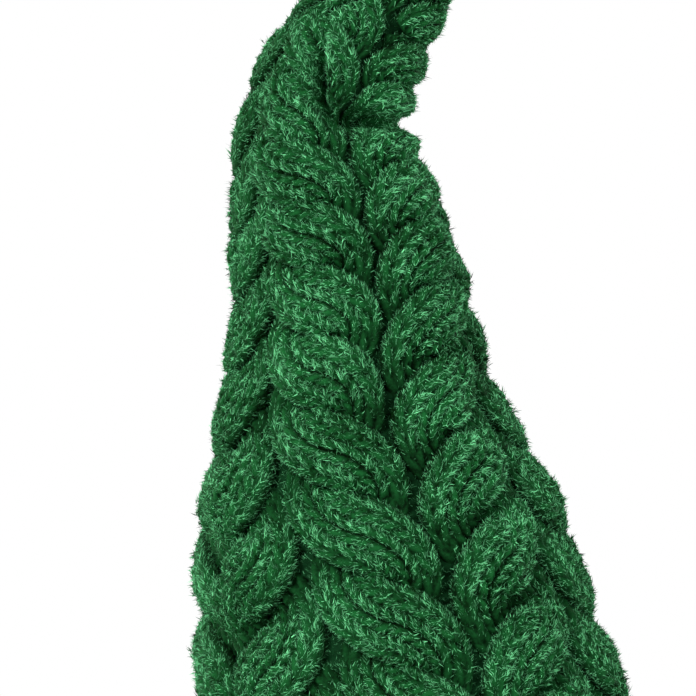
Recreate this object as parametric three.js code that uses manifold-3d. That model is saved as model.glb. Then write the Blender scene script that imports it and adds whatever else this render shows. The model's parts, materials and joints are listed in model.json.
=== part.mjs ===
// A tomte gnome: a weighted, stuffed body with a bead nose, a pile beard, two arms jointed on
// thread and buttons, two boots, and a tall knitted hat that a soft wire inside lets you bend.
// Millimetres, +Z up. The origin is the centre of the underside, and the face looks along -Y.
import * as THREE from "three";
import { mergeVertices } from "three/addons/utils/BufferGeometryUtils.js";
import Module from "manifold-3d";

const wasm = await Module();
wasm.setup();

// ---- Driving dimensions ----------------------------------------------------------------------

const GAP = 0.4; // between pieces that touch
const HOLE_EASE = 0.7; // round a thread, wire or dowel that passes through a piece
const ROUND_SIDES = 20;
const LIMB_SIDES = 14;
const SMALL_SIDES = 8;

// Stuffed body, sewn from felt and closed underneath by a felt sole over a plywood board
const BODY_RADIUS = 62;
const BODY_HEIGHT = 138; // up to the lower edge of the hat
const BODY_TAPER = 6; // how much narrower the neck is than the widest part
const BODY_WALL = 2.5;
const FOOT_ROUND = 8; // radius of the rounded lower edge
const HEAD_HEIGHT = 44; // the dome inside the hat
const HEAD_HOLE = 12; // drawn-up opening on top, which the wire passes through
const SOLE_THICKNESS = 3;
const BOARD_THICKNESS = 5;
const BALLAST_HEIGHT = 26;
const BALLAST_EASE = 5;

// Nose: a turned wooden ball on a dowel, locked behind the felt by a washer
const NOSE_RADIUS = 16;
const NOSE_BELOW_BRIM = 3;
const DOWEL_RADIUS = 4;
const DOWEL_DEPTH = 9; // how far the dowel is glued into the ball
const WASHER_RADIUS = 11;
const WASHER_THICKNESS = 2;
const DOWEL_TAIL = 4; // what stands out behind the washer

// Beard: long pile on a woven backing that is glued to the felt
const BEARD_LENGTH = 104;
const BEARD_HALF_WIDTH = 46;
const BEARD_PILE = 15;
const BEARD_BACKING = 2;
const BACKING_INSET = 5; // the pile overhangs its backing by this much
const BACKING_TUCK = 6; // how far the backing goes up under the hat

// Arms, on a thread with a button outside and a button inside
const SHOULDER_BELOW_BRIM = 22;
const ARM_FORWARD = 6;
const SLEEVE_TOP_RADIUS = 13;
const SLEEVE_WRIST_RADIUS = 14;
const SLEEVE_LENGTH = 48;
const SLEEVE_WALL = 2;
const ARM_CLEARANCE = 1.2; // from the body
const CUFF_THICKNESS = 4.5;
const CUFF_HEIGHT = 15;
const MITTEN_RADIUS = 15;
const MITTEN_LENGTH = 34;
const MITTEN_FLATNESS = 0.72;
const THUMB_RADIUS = 5.2;
const THUMB_LENGTH = 11;
const THREAD_RADIUS = 1;
const BUTTON_RADIUS = 7;
const BUTTON_THICKNESS = 2.6;

// Boots
const BOOT_LENGTH = 66;
const BOOT_HALF_WIDTH = 18;
const BOOT_HEIGHT = 34;
const BOOT_SPREAD = 25; // from the middle to each boot's centre line
const BOOT_REACH = 34; // how far the toe stands out from the body
const BOOT_SOLE = 4;
const BOOT_WELT = 1.6;

// Hat: cable-knitted cone over a felt lining and wadding
const KNIT_THICKNESS = 6;
const KNIT_SHARE = 0.45; // the most of the hat's radius that the knit's wall takes, near the tip
const LINING_THICKNESS = 1.5;
const HAT_EASE = 4.5; // room for the beard's backing under the lining
const HAT_LENGTH = 345; // along the centre line
const HAT_LEAN = -8.3; // degrees from upright, towards -X
const LEAN_OVER = 60; // the stretch in which the level brim turns into the lean
const CREASE_RADIUS = 21.5;
const TIP_RADIUS = 5.5;
const CUFF_BAND_HEIGHT = 26;
const CUFF_BAND_THICKNESS = 5;
const CREASE_AT = 226; // along the centre line, as are the next two
const NOD_AT = 264;
const TIP_BEND_AT = 300;
const CREASE_HALF = 16; // half the length of the cloth that gives at each bend
const NOD_HALF = 10;
const TIP_BEND_HALF = 10;
const CREASE_TURN = 39; // degrees that the centre line turns at each bend, towards +X
const NOD_TURN = 8;
const TIP_TURN = 50;
const WIRE_RADIUS = 1.3;
const WIRE_BEND_HALF = 4; // half the length of wire that gives at each bend
const WIRE_TAIL = 16; // left free inside the tip
const ANCHOR_RADIUS = 17;
const ANCHOR_THICKNESS = 4;
const ANCHOR_BELOW_DOME = 9;
const CRIMP_RADIUS = 3.2;
const CRIMP_LENGTH = 7;

// ---- Derived sizes ---------------------------------------------------------------------------

const NECK_RADIUS = BODY_RADIUS - BODY_TAPER;
const BODY_BOTTOM = SOLE_THICKNESS + GAP;
const SOLE_RADIUS = BODY_RADIUS - FOOT_ROUND;
const LINING_GAP = KNIT_THICKNESS + GAP;
const BRIM_RADIUS = NECK_RADIUS + BEARD_BACKING + HAT_EASE + LINING_THICKNESS + KNIT_THICKNESS;
const BEARD_TOP = BODY_HEIGHT - GAP;
const NOSE_HEIGHT = BODY_HEIGHT - NOSE_BELOW_BRIM - NOSE_RADIUS;
const SHOULDER_HEIGHT = BODY_HEIGHT - SHOULDER_BELOW_BRIM;

// ---- Materials -------------------------------------------------------------------------------

const material = (color, roughness) => new THREE.MeshStandardMaterial({ color, roughness });
const greenKnit = material("#22703f", 0.95);
const greyFelt = material("#8b8a86", 0.95);
const greenFelt = material("#1d5733", 0.95);
const darkFelt = material("#3b3835", 0.95);
const soleLeather = material("#6b4a31", 0.6);
const creamPile = material("#ece6da", 0.9);
const backingCloth = material("#d8d2c4", 0.9);
const wadding = material("#f1f0ec", 1);
const bareWood = material("#cf9f6b", 0.6);
const ballastCloth = material("#c9b891", 0.9);
const wireSteel = new THREE.MeshStandardMaterial({ color: "#9a9da1", roughness: 0.35, metalness: 1 });
const waxedThread = material("#e8e0cc", 0.8);

// ---- Shape helpers ---------------------------------------------------------------------------

const radians = THREE.MathUtils.degToRad;
const v2 = (x, y) => new THREE.Vector2(x, y);

/** A three.js geometry as a manifold-3d solid. */
function solid(geometry) {
  const bare = geometry.clone();
  for (const name of ["normal", "uv"]) bare.deleteAttribute(name);
  const merged = mergeVertices(bare, 1e-4);
  return new wasm.Manifold(
    new wasm.Mesh({
      numProp: 3,
      vertProperties: merged.attributes.position.array,
      triVerts: new Uint32Array(merged.index.array),
    }),
  );
}

/** A manifold-3d solid as a three.js geometry. */
function geometryOf(made) {
  const { vertProperties, triVerts } = made.getMesh();
  return new THREE.BufferGeometry()
    .setAttribute("position", new THREE.BufferAttribute(new Float32Array(vertProperties), 3))
    .setIndex(new THREE.BufferAttribute(new Uint32Array(triVerts), 1));
}

/** A profile of (radius, height) points turned about +Z. */
function turned(profile, sides = ROUND_SIDES) {
  return new THREE.LatheGeometry(profile, sides).rotateX(Math.PI / 2);
}

/** A plain cylinder from one point to another. */
function rod(from, to, radius, sides = SMALL_SIDES) {
  const along = new THREE.Vector3().subVectors(to, from);
  const turn = new THREE.Quaternion().setFromUnitVectors(
    new THREE.Vector3(0, 1, 0),
    along.clone().normalize(),
  );
  const middle = from.clone().addScaledVector(along, 0.5);
  return new THREE.CylinderGeometry(radius, radius, along.length(), sides)
    .applyQuaternion(turn)
    .translate(middle.x, middle.y, middle.z);
}

const group = new THREE.Group();

function add(name, shape, look) {
  const geometry = shape.isBufferGeometry ? shape : geometryOf(shape);
  const mesh = new THREE.Mesh(geometry, look);
  mesh.name = name;
  group.add(mesh);
  return mesh;
}

// ---- Body ------------------------------------------------------------------------------------

/** The body's outer radius at a height between its rounded foot and its neck. */
function bodyRadius(height) {
  const from = BODY_BOTTOM + FOOT_ROUND;
  const share = THREE.MathUtils.clamp((height - from) / (BODY_HEIGHT - from), 0, 1);
  return BODY_RADIUS - (BODY_TAPER * (1 - Math.cos(share * Math.PI))) / 2;
}

/** The felt body's surface, moved inwards by inset, as (radius, height) points going up. */
function bodyProfile(inset) {
  const points = [];
  const round = FOOT_ROUND - inset;
  for (const turn of [0, 45, 90].map(radians))
    points.push(
      v2(SOLE_RADIUS + round * Math.sin(turn), BODY_BOTTOM + FOOT_ROUND - round * Math.cos(turn)),
    );
  const sideFrom = BODY_BOTTOM + FOOT_ROUND;
  const steps = 4;
  for (let i = 1; i <= steps; i++) {
    const height = THREE.MathUtils.lerp(sideFrom, BODY_HEIGHT, i / steps);
    points.push(v2(bodyRadius(height) - inset, height));
  }
  const wide = NECK_RADIUS - inset;
  const tall = HEAD_HEIGHT - inset;
  const last = Math.acos(HEAD_HOLE / wide);
  for (let i = 1; i <= steps; i++) {
    const turn = (last * i) / steps;
    points.push(v2(wide * Math.cos(turn), BODY_HEIGHT + tall * Math.sin(turn)));
  }
  return points;
}

/** A closed solid whose outside is the body's surface grown by grow. */
function bodyBlock(grow) {
  const outer = bodyProfile(-grow);
  const foot = v2(0, outer[0].y);
  const top = v2(0, outer[outer.length - 1].y);
  return solid(turned([foot, ...outer, top]));
}

/** A flat disc's profile, for turning about +Z or about the hat's centre line. */
function discProfile(from, thickness, radius) {
  return [v2(0, from), v2(radius, from), v2(radius, from + thickness), v2(0, from + thickness)];
}

function addBody() {
  add("base_sole", turned(discProfile(0, SOLE_THICKNESS, SOLE_RADIUS)), darkFelt);
  const board = discProfile(BODY_BOTTOM, BOARD_THICKNESS, SOLE_RADIUS - GAP);
  add("base_board", turned(board), bareWood);
  const boardTop = BODY_BOTTOM + BOARD_THICKNESS;
  const bagRadius = BODY_RADIUS - BODY_WALL - BALLAST_EASE;
  const bagFrom = boardTop + GAP;
  const bagProfile = [v2(0, bagFrom)];
  for (const turn of [-60, -20, 20, 60].map(radians))
    bagProfile.push(
      v2(
        bagRadius - (BALLAST_HEIGHT / 2) * (1 - Math.cos(turn)),
        bagFrom + (BALLAST_HEIGHT / 2) * (1 + Math.sin(turn) / Math.sin(radians(60))),
      ),
    );
  bagProfile.push(v2(0, bagFrom + BALLAST_HEIGHT));
  add("ballast_bag", turned(bagProfile), ballastCloth);

  const outer = bodyProfile(0);
  const inner = bodyProfile(BODY_WALL).reverse();
  const shell = solid(turned([...outer, ...inner, outer[0]]));
  const fillFrom = bagFrom + BALLAST_HEIGHT + GAP;
  const fillProfile = bodyProfile(BODY_WALL + GAP).filter((point) => point.y > fillFrom);
  const fillTop = fillProfile[fillProfile.length - 1].y;
  const filling = solid(
    turned([v2(0, fillFrom), v2(fillProfile[0].x, fillFrom), ...fillProfile, v2(0, fillTop)]),
  );
  const pierced = [...noseHoles(), ...threadHoles()].reduce((made, hole) => made.subtract(hole), shell);
  add("body_shell", pierced, greyFelt);
  const emptied = [...noseHoles(), ...threadHoles(), ...anchorHoles()].reduce(
    (made, hole) => made.subtract(hole),
    filling,
  );
  add("body_filling", emptied, wadding);
}

// ---- Nose ------------------------------------------------------------------------------------

/** Where the nose's parts lie along -Y, measured out from the middle of the body. */
const noseSeat = bodyRadius(NOSE_HEIGHT);
const noseCentre = noseSeat + BEARD_BACKING + 2 * GAP + Math.sqrt(NOSE_RADIUS ** 2 - DOWEL_RADIUS ** 2);
const washerFront = Math.sqrt((noseSeat - BODY_WALL - GAP) ** 2 - WASHER_RADIUS ** 2);
const dowelBack = washerFront - WASHER_THICKNESS - DOWEL_TAIL;
const onNoseAxis = (out) => new THREE.Vector3(0, -out, NOSE_HEIGHT);

function noseHoles() {
  return [
    solid(rod(onNoseAxis(dowelBack - GAP), onNoseAxis(noseCentre), DOWEL_RADIUS + HOLE_EASE)),
    solid(
      rod(
        onNoseAxis(washerFront - WASHER_THICKNESS - GAP),
        onNoseAxis(washerFront + GAP),
        WASHER_RADIUS + GAP,
        LIMB_SIDES,
      ),
    ),
  ];
}

function addNose() {
  const dowelFront = noseCentre - NOSE_RADIUS + DOWEL_DEPTH;
  const ball = solid(
    new THREE.SphereGeometry(NOSE_RADIUS, 16, 10)
      .rotateX(Math.PI / 2)
      .translate(0, -noseCentre, NOSE_HEIGHT),
  );
  const socket = solid(
    rod(onNoseAxis(0), onNoseAxis(dowelFront + GAP), DOWEL_RADIUS + GAP),
  );
  add("nose_ball", ball.subtract(socket), bareWood);
  add("nose_dowel", rod(onNoseAxis(dowelBack), onNoseAxis(dowelFront), DOWEL_RADIUS), bareWood);
  const disc = solid(
    rod(
      onNoseAxis(washerFront - WASHER_THICKNESS),
      onNoseAxis(washerFront),
      WASHER_RADIUS,
      LIMB_SIDES,
    ),
  );
  const bore = solid(rod(onNoseAxis(0), onNoseAxis(noseSeat), DOWEL_RADIUS + GAP));
  add("nose_washer", disc.subtract(bore), bareWood);
}

// ---- Beard -----------------------------------------------------------------------------------

/** The beard's outline seen from the front, shrunk by inset and raised by tuck, made a solid. */
function beardPrism(inset, tuck) {
  const half = BEARD_HALF_WIDTH - inset;
  const top = BEARD_TOP + tuck;
  const low = BEARD_TOP - BEARD_LENGTH + inset;
  const shoulder = BEARD_TOP - BEARD_LENGTH * 0.3;
  const outline = new THREE.Shape();
  outline.moveTo(-half * 0.82, top);
  outline.lineTo(-half * 0.82, BEARD_TOP - 1);
  outline.quadraticCurveTo(-half * 1.05, shoulder + 12, -half, shoulder);
  outline.quadraticCurveTo(-half * 0.75, low + 26, 0, low);
  outline.quadraticCurveTo(half * 0.75, low + 26, half, shoulder);
  outline.quadraticCurveTo(half * 1.05, shoulder + 12, half * 0.82, BEARD_TOP - 1);
  outline.lineTo(half * 0.82, top);
  outline.closePath();
  const depth = 2 * BODY_RADIUS + BEARD_PILE;
  return solid(
    new THREE.ExtrudeGeometry(outline, { depth, bevelEnabled: false, curveSegments: 4 }).rotateX(
      Math.PI / 2,
    ),
  );
}

function addBeard() {
  const inFront = beardPrism(BACKING_INSET, BACKING_TUCK).intersect(bodyBlock(GAP + BEARD_BACKING));
  const backing = noseHoles().reduce(
    (made, hole) => made.subtract(hole),
    inFront.subtract(bodyBlock(GAP)),
  );
  add("beard_backing", backing, backingCloth);
  const nosePocket = solid(
    new THREE.SphereGeometry(NOSE_RADIUS + GAP, 16, 10)
      .rotateX(Math.PI / 2)
      .translate(0, -noseCentre, NOSE_HEIGHT),
  );
  const pile = beardPrism(0, 0)
    .intersect(bodyBlock(2 * GAP + BEARD_BACKING + BEARD_PILE))
    .subtract(bodyBlock(2 * GAP + BEARD_BACKING))
    .subtract(nosePocket)
    .subtract(noseHoles()[0]);
  add("beard_pile", pile, creamPile);
}

// ---- Boots -----------------------------------------------------------------------------------

function addBoots() {
  const toe = BODY_RADIUS + BOOT_REACH;
  const soleRoom = turned(discProfile(-GAP, BODY_BOTTOM + 2 * GAP, SOLE_RADIUS + GAP));
  const keepOut = bodyBlock(GAP).add(solid(soleRoom));
  for (const [side, sign] of [
    ["left", 1],
    ["right", -1],
  ]) {
    const x = sign * BOOT_SPREAD;
    const middle = -(toe - BOOT_LENGTH / 2);
    const upper = solid(
      new THREE.SphereGeometry(1, 16, 10)
        .rotateX(Math.PI / 2)
        .scale(BOOT_HALF_WIDTH, BOOT_LENGTH / 2, BOOT_HEIGHT - BOOT_SOLE)
        .translate(x, middle, BOOT_SOLE + GAP),
    )
      .trimByPlane([0, 0, 1], BOOT_SOLE + GAP)
      .subtract(keepOut);
    add(`boot_${side}`, upper, darkFelt);
    const outline = new THREE.Shape();
    const half = BOOT_HALF_WIDTH + BOOT_WELT;
    outline.absellipse(0, 0, half, BOOT_LENGTH / 2 + BOOT_WELT, 0, 2 * Math.PI, false, 0);
    const sole = solid(
      new THREE.ExtrudeGeometry(outline, {
        depth: BOOT_SOLE,
        bevelEnabled: false,
        curveSegments: 9,
      }).translate(x, middle, 0),
    ).subtract(keepOut);
    add(`boot_sole_${side}`, sole, soleLeather);
  }
}

// ---- Arms ------------------------------------------------------------------------------------

const shoulderOut = bodyRadius(SHOULDER_HEIGHT) + ARM_CLEARANCE + SLEEVE_TOP_RADIUS;
const wristOut = BODY_RADIUS + ARM_CLEARANCE + SLEEVE_WRIST_RADIUS + CUFF_THICKNESS;
const armLean = Math.asin((wristOut - shoulderOut) / SLEEVE_LENGTH);
const sleeveFlare = Math.atan((SLEEVE_WRIST_RADIUS - SLEEVE_TOP_RADIUS) / SLEEVE_LENGTH);
const innerKnotOut = bodyRadius(SHOULDER_HEIGHT) - BODY_WALL - 3 * GAP - BUTTON_THICKNESS;

/** A point on the axis that an arm swings about. */
const onShoulderAxis = (sign, out) => new THREE.Vector3(sign * out, -ARM_FORWARD, SHOULDER_HEIGHT);

/** Room for both threads, with their inner buttons, through the body's felt and filling. */
function threadHoles() {
  return [1, -1].flatMap((sign) => [
    solid(
      rod(
        onShoulderAxis(sign, innerKnotOut - GAP),
        onShoulderAxis(sign, shoulderOut),
        THREAD_RADIUS + HOLE_EASE,
      ),
    ),
    solid(
      rod(
        onShoulderAxis(sign, innerKnotOut - GAP),
        onShoulderAxis(sign, innerKnotOut + BUTTON_THICKNESS + 2 * GAP),
        BUTTON_RADIUS + GAP,
        LIMB_SIDES,
      ),
    ),
  ]);
}

/** Puts a shape made about +Z, with the shoulder at its origin and the hand below, on one side. */
function armPlaced(geometry, sign) {
  return geometry
    .rotateY(-sign * armLean)
    .translate(sign * shoulderOut, -ARM_FORWARD, SHOULDER_HEIGHT);
}

function sleeveProfile(inset) {
  const top = SLEEVE_TOP_RADIUS - inset;
  const wrist = SLEEVE_WRIST_RADIUS - inset;
  const points = [v2(wrist, -SLEEVE_LENGTH), v2(top, 0)];
  for (const turn of [30, 60].map(radians)) points.push(v2(top * Math.cos(turn), top * Math.sin(turn)));
  points.push(v2(0, top));
  return points;
}

function addArms() {
  for (const [side, sign] of [
    ["left", 1],
    ["right", -1],
  ]) {
    const threadRoom = solid(
      rod(
        onShoulderAxis(sign, 0),
        onShoulderAxis(sign, shoulderOut + 2 * SLEEVE_TOP_RADIUS),
        THREAD_RADIUS + HOLE_EASE,
      ),
    );
    const sleeve = solid(
      armPlaced(turned([...sleeveProfile(SLEEVE_WALL).reverse(), ...sleeveProfile(0)], LIMB_SIDES), sign),
    );
    add(`sleeve_${side}`, sleeve.subtract(threadRoom), greyFelt);
    const fill = sleeveProfile(SLEEVE_WALL + GAP);
    const filling = solid(armPlaced(turned([v2(0, -SLEEVE_LENGTH), ...fill], LIMB_SIDES), sign));
    add(`arm_filling_${side}`, filling.subtract(threadRoom), wadding);

    const cuffIn = SLEEVE_WRIST_RADIUS + GAP;
    const cuffTop = -SLEEVE_LENGTH + CUFF_HEIGHT * 0.75;
    const cuffOutline = [v2(cuffIn, cuffTop - CUFF_HEIGHT)];
    for (const turn of [-60, -20, 20, 60].map(radians))
      cuffOutline.push(
        v2(
          cuffIn + CUFF_THICKNESS * Math.cos(turn),
          cuffTop - CUFF_HEIGHT / 2 + (CUFF_HEIGHT / 2) * Math.sin(turn),
        ),
      );
    cuffOutline.push(v2(cuffIn, cuffTop), v2(cuffIn, cuffTop - CUFF_HEIGHT));
    add(`cuff_${side}`, armPlaced(turned(cuffOutline, LIMB_SIDES), sign), creamPile);

    const handTop = -SLEEVE_LENGTH - GAP;
    const palm = [v2(0, handTop - MITTEN_LENGTH)];
    for (const turn of [-60, -30, 0].map(radians))
      palm.push(
        v2(
          MITTEN_RADIUS * Math.cos(turn),
          handTop - MITTEN_LENGTH + MITTEN_RADIUS * (1 + Math.sin(turn)),
        ),
      );
    palm.push(v2(cuffIn - 2 * GAP, handTop), v2(0, handTop));
    const hand = solid(
      armPlaced(turned(palm, LIMB_SIDES).scale(MITTEN_FLATNESS, 1, 1), sign),
    );
    const thumbRoot = handTop - MITTEN_LENGTH * 0.5;
    const thumb = solid(
      armPlaced(
        new THREE.CapsuleGeometry(THUMB_RADIUS, THUMB_LENGTH, 2, 8)
          .rotateX(radians(35) + Math.PI / 2)
          .translate(0, -MITTEN_RADIUS, thumbRoot),
        sign,
      ),
    );
    add(`mitten_${side}`, hand.add(thumb), greenFelt);

    // The sleeve leans outwards, so the button's lower edge is what meets it first.
    const buttonFrom =
      shoulderOut +
      SLEEVE_TOP_RADIUS / Math.cos(armLean) +
      BUTTON_RADIUS * Math.tan(armLean + sleeveFlare) +
      GAP;
    const threadTo = buttonFrom + BUTTON_THICKNESS + 0.8;
    for (const [name, from] of [
      ["shoulder_button", buttonFrom],
      ["inner_button", innerKnotOut],
    ]) {
      const disc = rod(
        onShoulderAxis(sign, from),
        onShoulderAxis(sign, from + BUTTON_THICKNESS),
        BUTTON_RADIUS,
        LIMB_SIDES,
      );
      add(`${name}_${side}`, solid(disc).subtract(threadRoom), bareWood);
    }
    add(
      `shoulder_thread_${side}`,
      rod(onShoulderAxis(sign, innerKnotOut), onShoulderAxis(sign, threadTo), THREAD_RADIUS, 8),
      waxedThread,
    );
  }
}

// ---- Hat -------------------------------------------------------------------------------------

/** The centre line's stretches: each ends at a place along it, turned by an angle from upright. */
const stretches = [
  { until: LEAN_OVER, heading: HAT_LEAN },
  { until: CREASE_AT - CREASE_HALF, heading: HAT_LEAN },
  { until: CREASE_AT + CREASE_HALF, heading: HAT_LEAN + CREASE_TURN },
  { until: NOD_AT - NOD_HALF, heading: HAT_LEAN + CREASE_TURN },
  { until: NOD_AT + NOD_HALF, heading: HAT_LEAN + CREASE_TURN + NOD_TURN },
  { until: TIP_BEND_AT - TIP_BEND_HALF, heading: HAT_LEAN + CREASE_TURN + NOD_TURN },
  { until: TIP_BEND_AT + TIP_BEND_HALF, heading: HAT_LEAN + CREASE_TURN + NOD_TURN + TIP_TURN },
  { until: Infinity, heading: HAT_LEAN + CREASE_TURN + NOD_TURN + TIP_TURN },
];

/** Place and heading on the hat's centre line, which starts at the middle of its lower edge. */
function hatAxis(along) {
  let [x, z, done, heading] = [0, BODY_HEIGHT, 0, 0];
  for (const stretch of stretches) {
    const length = stretch.until - done;
    const turn = radians(stretch.heading) - heading;
    const part = Math.min(length, along - done);
    const turned = Number.isFinite(length) ? (turn * part) / length : 0;
    // An arc's chord points along its middle heading.
    const chord = Math.abs(turned) < 1e-9 ? part : (2 * part * Math.sin(turned / 2)) / turned;
    x += chord * Math.sin(heading + turned / 2);
    z += chord * Math.cos(heading + turned / 2);
    heading += turned;
    if (part < length) break;
    done = stretch.until;
  }
  return { point: new THREE.Vector3(x, 0, z), heading };
}

/** The outer radius of the knitted cone. */
function hatRadius(along) {
  const lower = along / CREASE_AT;
  const upper = (along - CREASE_AT) / (HAT_LENGTH - CREASE_AT);
  return along < CREASE_AT
    ? THREE.MathUtils.lerp(BRIM_RADIUS, CREASE_RADIUS, lower)
    : THREE.MathUtils.lerp(CREASE_RADIUS, TIP_RADIUS, upper);
}

/** The thickness of the knit, which tapers where the hat gets too thin to hold it. */
function knitWall(along) {
  return Math.min(KNIT_THICKNESS, hatRadius(along) * KNIT_SHARE);
}

/** A turned profile of (radius, place along the hat) points, bent to the hat's centre line. */
function onHat(profile, sides = ROUND_SIDES) {
  const geometry = new THREE.LatheGeometry(profile, sides);
  const places = geometry.attributes.position;
  for (let i = 0; i < places.count; i++) {
    const { point, heading } = hatAxis(places.getY(i));
    const out = places.getX(i);
    places.setXYZ(
      i,
      point.x + out * Math.cos(heading),
      -places.getZ(i),
      point.z - out * Math.sin(heading),
    );
  }
  return geometry;
}

/** Places along the hat from one to another, close together only where the centre line bends. */
function stations(from, to) {
  const found = [from];
  for (const bend of [
    [LEAN_OVER / 2, LEAN_OVER / 2],
    [CREASE_AT, CREASE_HALF],
    [NOD_AT, NOD_HALF],
    [TIP_BEND_AT, TIP_BEND_HALF],
  ])
    for (const share of [-1, -0.5, 0, 0.5, 1]) found.push(bend[0] + share * bend[1]);
  return [...found.filter((s) => s === from || (s > from + 1 && s < to - 1)), to];
}

/** A sleeve of cloth round the centre line, its faces inset from the knit's outer surface. */
function hatSleeve(from, to, outerInset, innerInset, sides = ROUND_SIDES) {
  const places = stations(from, to);
  const outer = places.map((s) => v2(hatRadius(s) - outerInset, s));
  const inner = places.map((s) => v2(hatRadius(s) - innerInset, s)).reverse();
  return onHat([...outer, ...inner, outer[0]], sides);
}

/** A solid plug round the centre line, inset from the knit's outer surface. */
function hatPlug(from, to, inset, sides = ROUND_SIDES) {
  const outer = stations(from, to).map((s) => v2(hatRadius(s) - inset, s));
  return onHat([v2(0, from), ...outer, v2(0, to)], sides);
}

/** Wire along the centre line. */
function hatWire(from, to, radius = WIRE_RADIUS) {
  const places = stations(from, to);
  return onHat([v2(0, from), ...places.map((s) => v2(radius, s)), v2(0, to)], SMALL_SIDES);
}

const domeAlong = HEAD_HEIGHT;
const anchorFrom = domeAlong - ANCHOR_BELOW_DOME - ANCHOR_THICKNESS;
const crimpFrom = anchorFrom - GAP - CRIMP_LENGTH;

/** Room in the head's filling for the wire's anchor disc, its crimp and the wire itself. */
function anchorHoles() {
  return [
    solid(onHat(discProfile(anchorFrom - GAP, ANCHOR_THICKNESS + 2 * GAP, ANCHOR_RADIUS + GAP), LIMB_SIDES)),
    solid(onHat(discProfile(crimpFrom - GAP, CRIMP_LENGTH + 2 * GAP, CRIMP_RADIUS + GAP), SMALL_SIDES)),
    solid(hatWire(crimpFrom - 2 * GAP, domeAlong + 2 * GAP, WIRE_RADIUS + HOLE_EASE)),
  ];
}

function addHat() {
  const creaseFrom = CREASE_AT - CREASE_HALF;
  const creaseTo = CREASE_AT + CREASE_HALF;
  const nodFrom = NOD_AT - NOD_HALF;
  const nodTo = NOD_AT + NOD_HALF;
  const tipBendFrom = TIP_BEND_AT - TIP_BEND_HALF;
  const tipBendTo = TIP_BEND_AT + TIP_BEND_HALF;

  const bandPlaces = stations(0, CUFF_BAND_HEIGHT);
  const bandOut = bandPlaces.map((s) => v2(hatRadius(s) + GAP + CUFF_BAND_THICKNESS, s));
  const bandIn = bandPlaces.map((s) => v2(hatRadius(s) + GAP, s)).reverse();
  add("hat_cuff", onHat([...bandOut, ...bandIn, bandOut[0]]), greenKnit);

  for (const [name, from, to] of [
    ["hat_knit_lower", 0, creaseFrom],
    ["hat_knit_crease", creaseFrom + GAP, creaseTo - GAP],
    ["hat_knit_middle", creaseTo, nodFrom],
    ["hat_knit_nod", nodFrom + GAP, nodTo - GAP],
    ["hat_knit_upper", nodTo, tipBendFrom],
    ["hat_knit_tip_bend", tipBendFrom + GAP, tipBendTo - GAP],
  ]) {
    add(name, hatSleeve(from, to, 0, knitWall(to)), greenKnit);
  }
  const tipWall = knitWall(tipBendTo);
  const tipTop = HAT_LENGTH - TIP_RADIUS;
  const tipOut = stations(tipBendTo, tipTop).map((s) => v2(hatRadius(s), s));
  const cap = [35, 65].map(radians).map((turn) =>
    v2(hatRadius(tipTop) * Math.cos(turn), tipTop + TIP_RADIUS * Math.sin(turn)),
  );
  const wireBore = WIRE_RADIUS + HOLE_EASE;
  const tipIn = stations(tipBendTo, tipTop).map((s) => v2(Math.max(hatRadius(s) - tipWall, wireBore), s));
  add(
    "hat_knit_tip",
    onHat([
      v2(0, tipTop),
      ...tipIn.reverse(),
      ...tipOut,
      ...cap,
      v2(0, HAT_LENGTH),
    ]),
    greenKnit,
  );

  const liningTo = creaseFrom - 2;
  add(
    "hat_lining",
    hatSleeve(2, liningTo, LINING_GAP, LINING_GAP + LINING_THICKNESS),
    greenFelt,
  );
  const wireRoom = solid(hatWire(-4, HAT_LENGTH, WIRE_RADIUS + HOLE_EASE));
  const lowerWadding = solid(hatPlug(12, liningTo - 4, LINING_GAP + LINING_THICKNESS + GAP))
    .subtract(bodyBlock(GAP + BEARD_BACKING + GAP))
    .subtract(wireRoom);
  add("hat_wadding_lower", lowerWadding, wadding);
  for (const [name, from, to] of [
    ["hat_wadding_middle", creaseTo, nodFrom],
    ["hat_wadding_upper", nodTo, tipBendFrom],
  ])
    add(
      name,
      solid(hatPlug(from, to, knitWall(to) + 2 * GAP)).subtract(wireRoom),
      wadding,
    );

  add(
    "wire_anchor_disc",
    solid(onHat(discProfile(anchorFrom, ANCHOR_THICKNESS, ANCHOR_RADIUS), LIMB_SIDES)).subtract(wireRoom),
    bareWood,
  );
  add(
    "wire_crimp",
    solid(onHat(discProfile(crimpFrom, CRIMP_LENGTH, CRIMP_RADIUS), SMALL_SIDES)).subtract(wireRoom),
    wireSteel,
  );
  const bends = [CREASE_AT, NOD_AT, TIP_BEND_AT];
  const wireEnds = [crimpFrom, ...bends, HAT_LENGTH - WIRE_TAIL];
  ["lower", "middle", "upper", "tip"].forEach((name, i) => {
    const from = wireEnds[i] + (i > 0 ? WIRE_BEND_HALF : 0);
    const to = wireEnds[i + 1] - (i < bends.length ? WIRE_BEND_HALF : 0);
    add(`hat_wire_${name}`, hatWire(from, to), wireSteel);
  });
  ["crease", "nod", "tip_bend"].forEach((name, i) => {
    const half = WIRE_BEND_HALF - GAP;
    add(`hat_wire_${name}`, hatWire(bends[i] - half, bends[i] + half), wireSteel);
  });
}

addBody();
addNose();
addBeard();
addBoots();
addArms();
addHat();

export default group;
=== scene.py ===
# %% [markdown]
# # A tomte gnome with a cable-knitted hat
#
# This lesson dresses a small wooden-nosed gnome. Its mechanical frame (where each part is, and what
# turns about what) is already fixed, so everything here is about looks: yarn, felt, hair and wood.
# Each step first says what the real thing is, how it could be made in Blender, and why this way.

# %% Load the frame
import json
import math

import bmesh
import bpy
import numpy as np
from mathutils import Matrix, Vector
from mathutils.bvhtree import BVHTree


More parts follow.
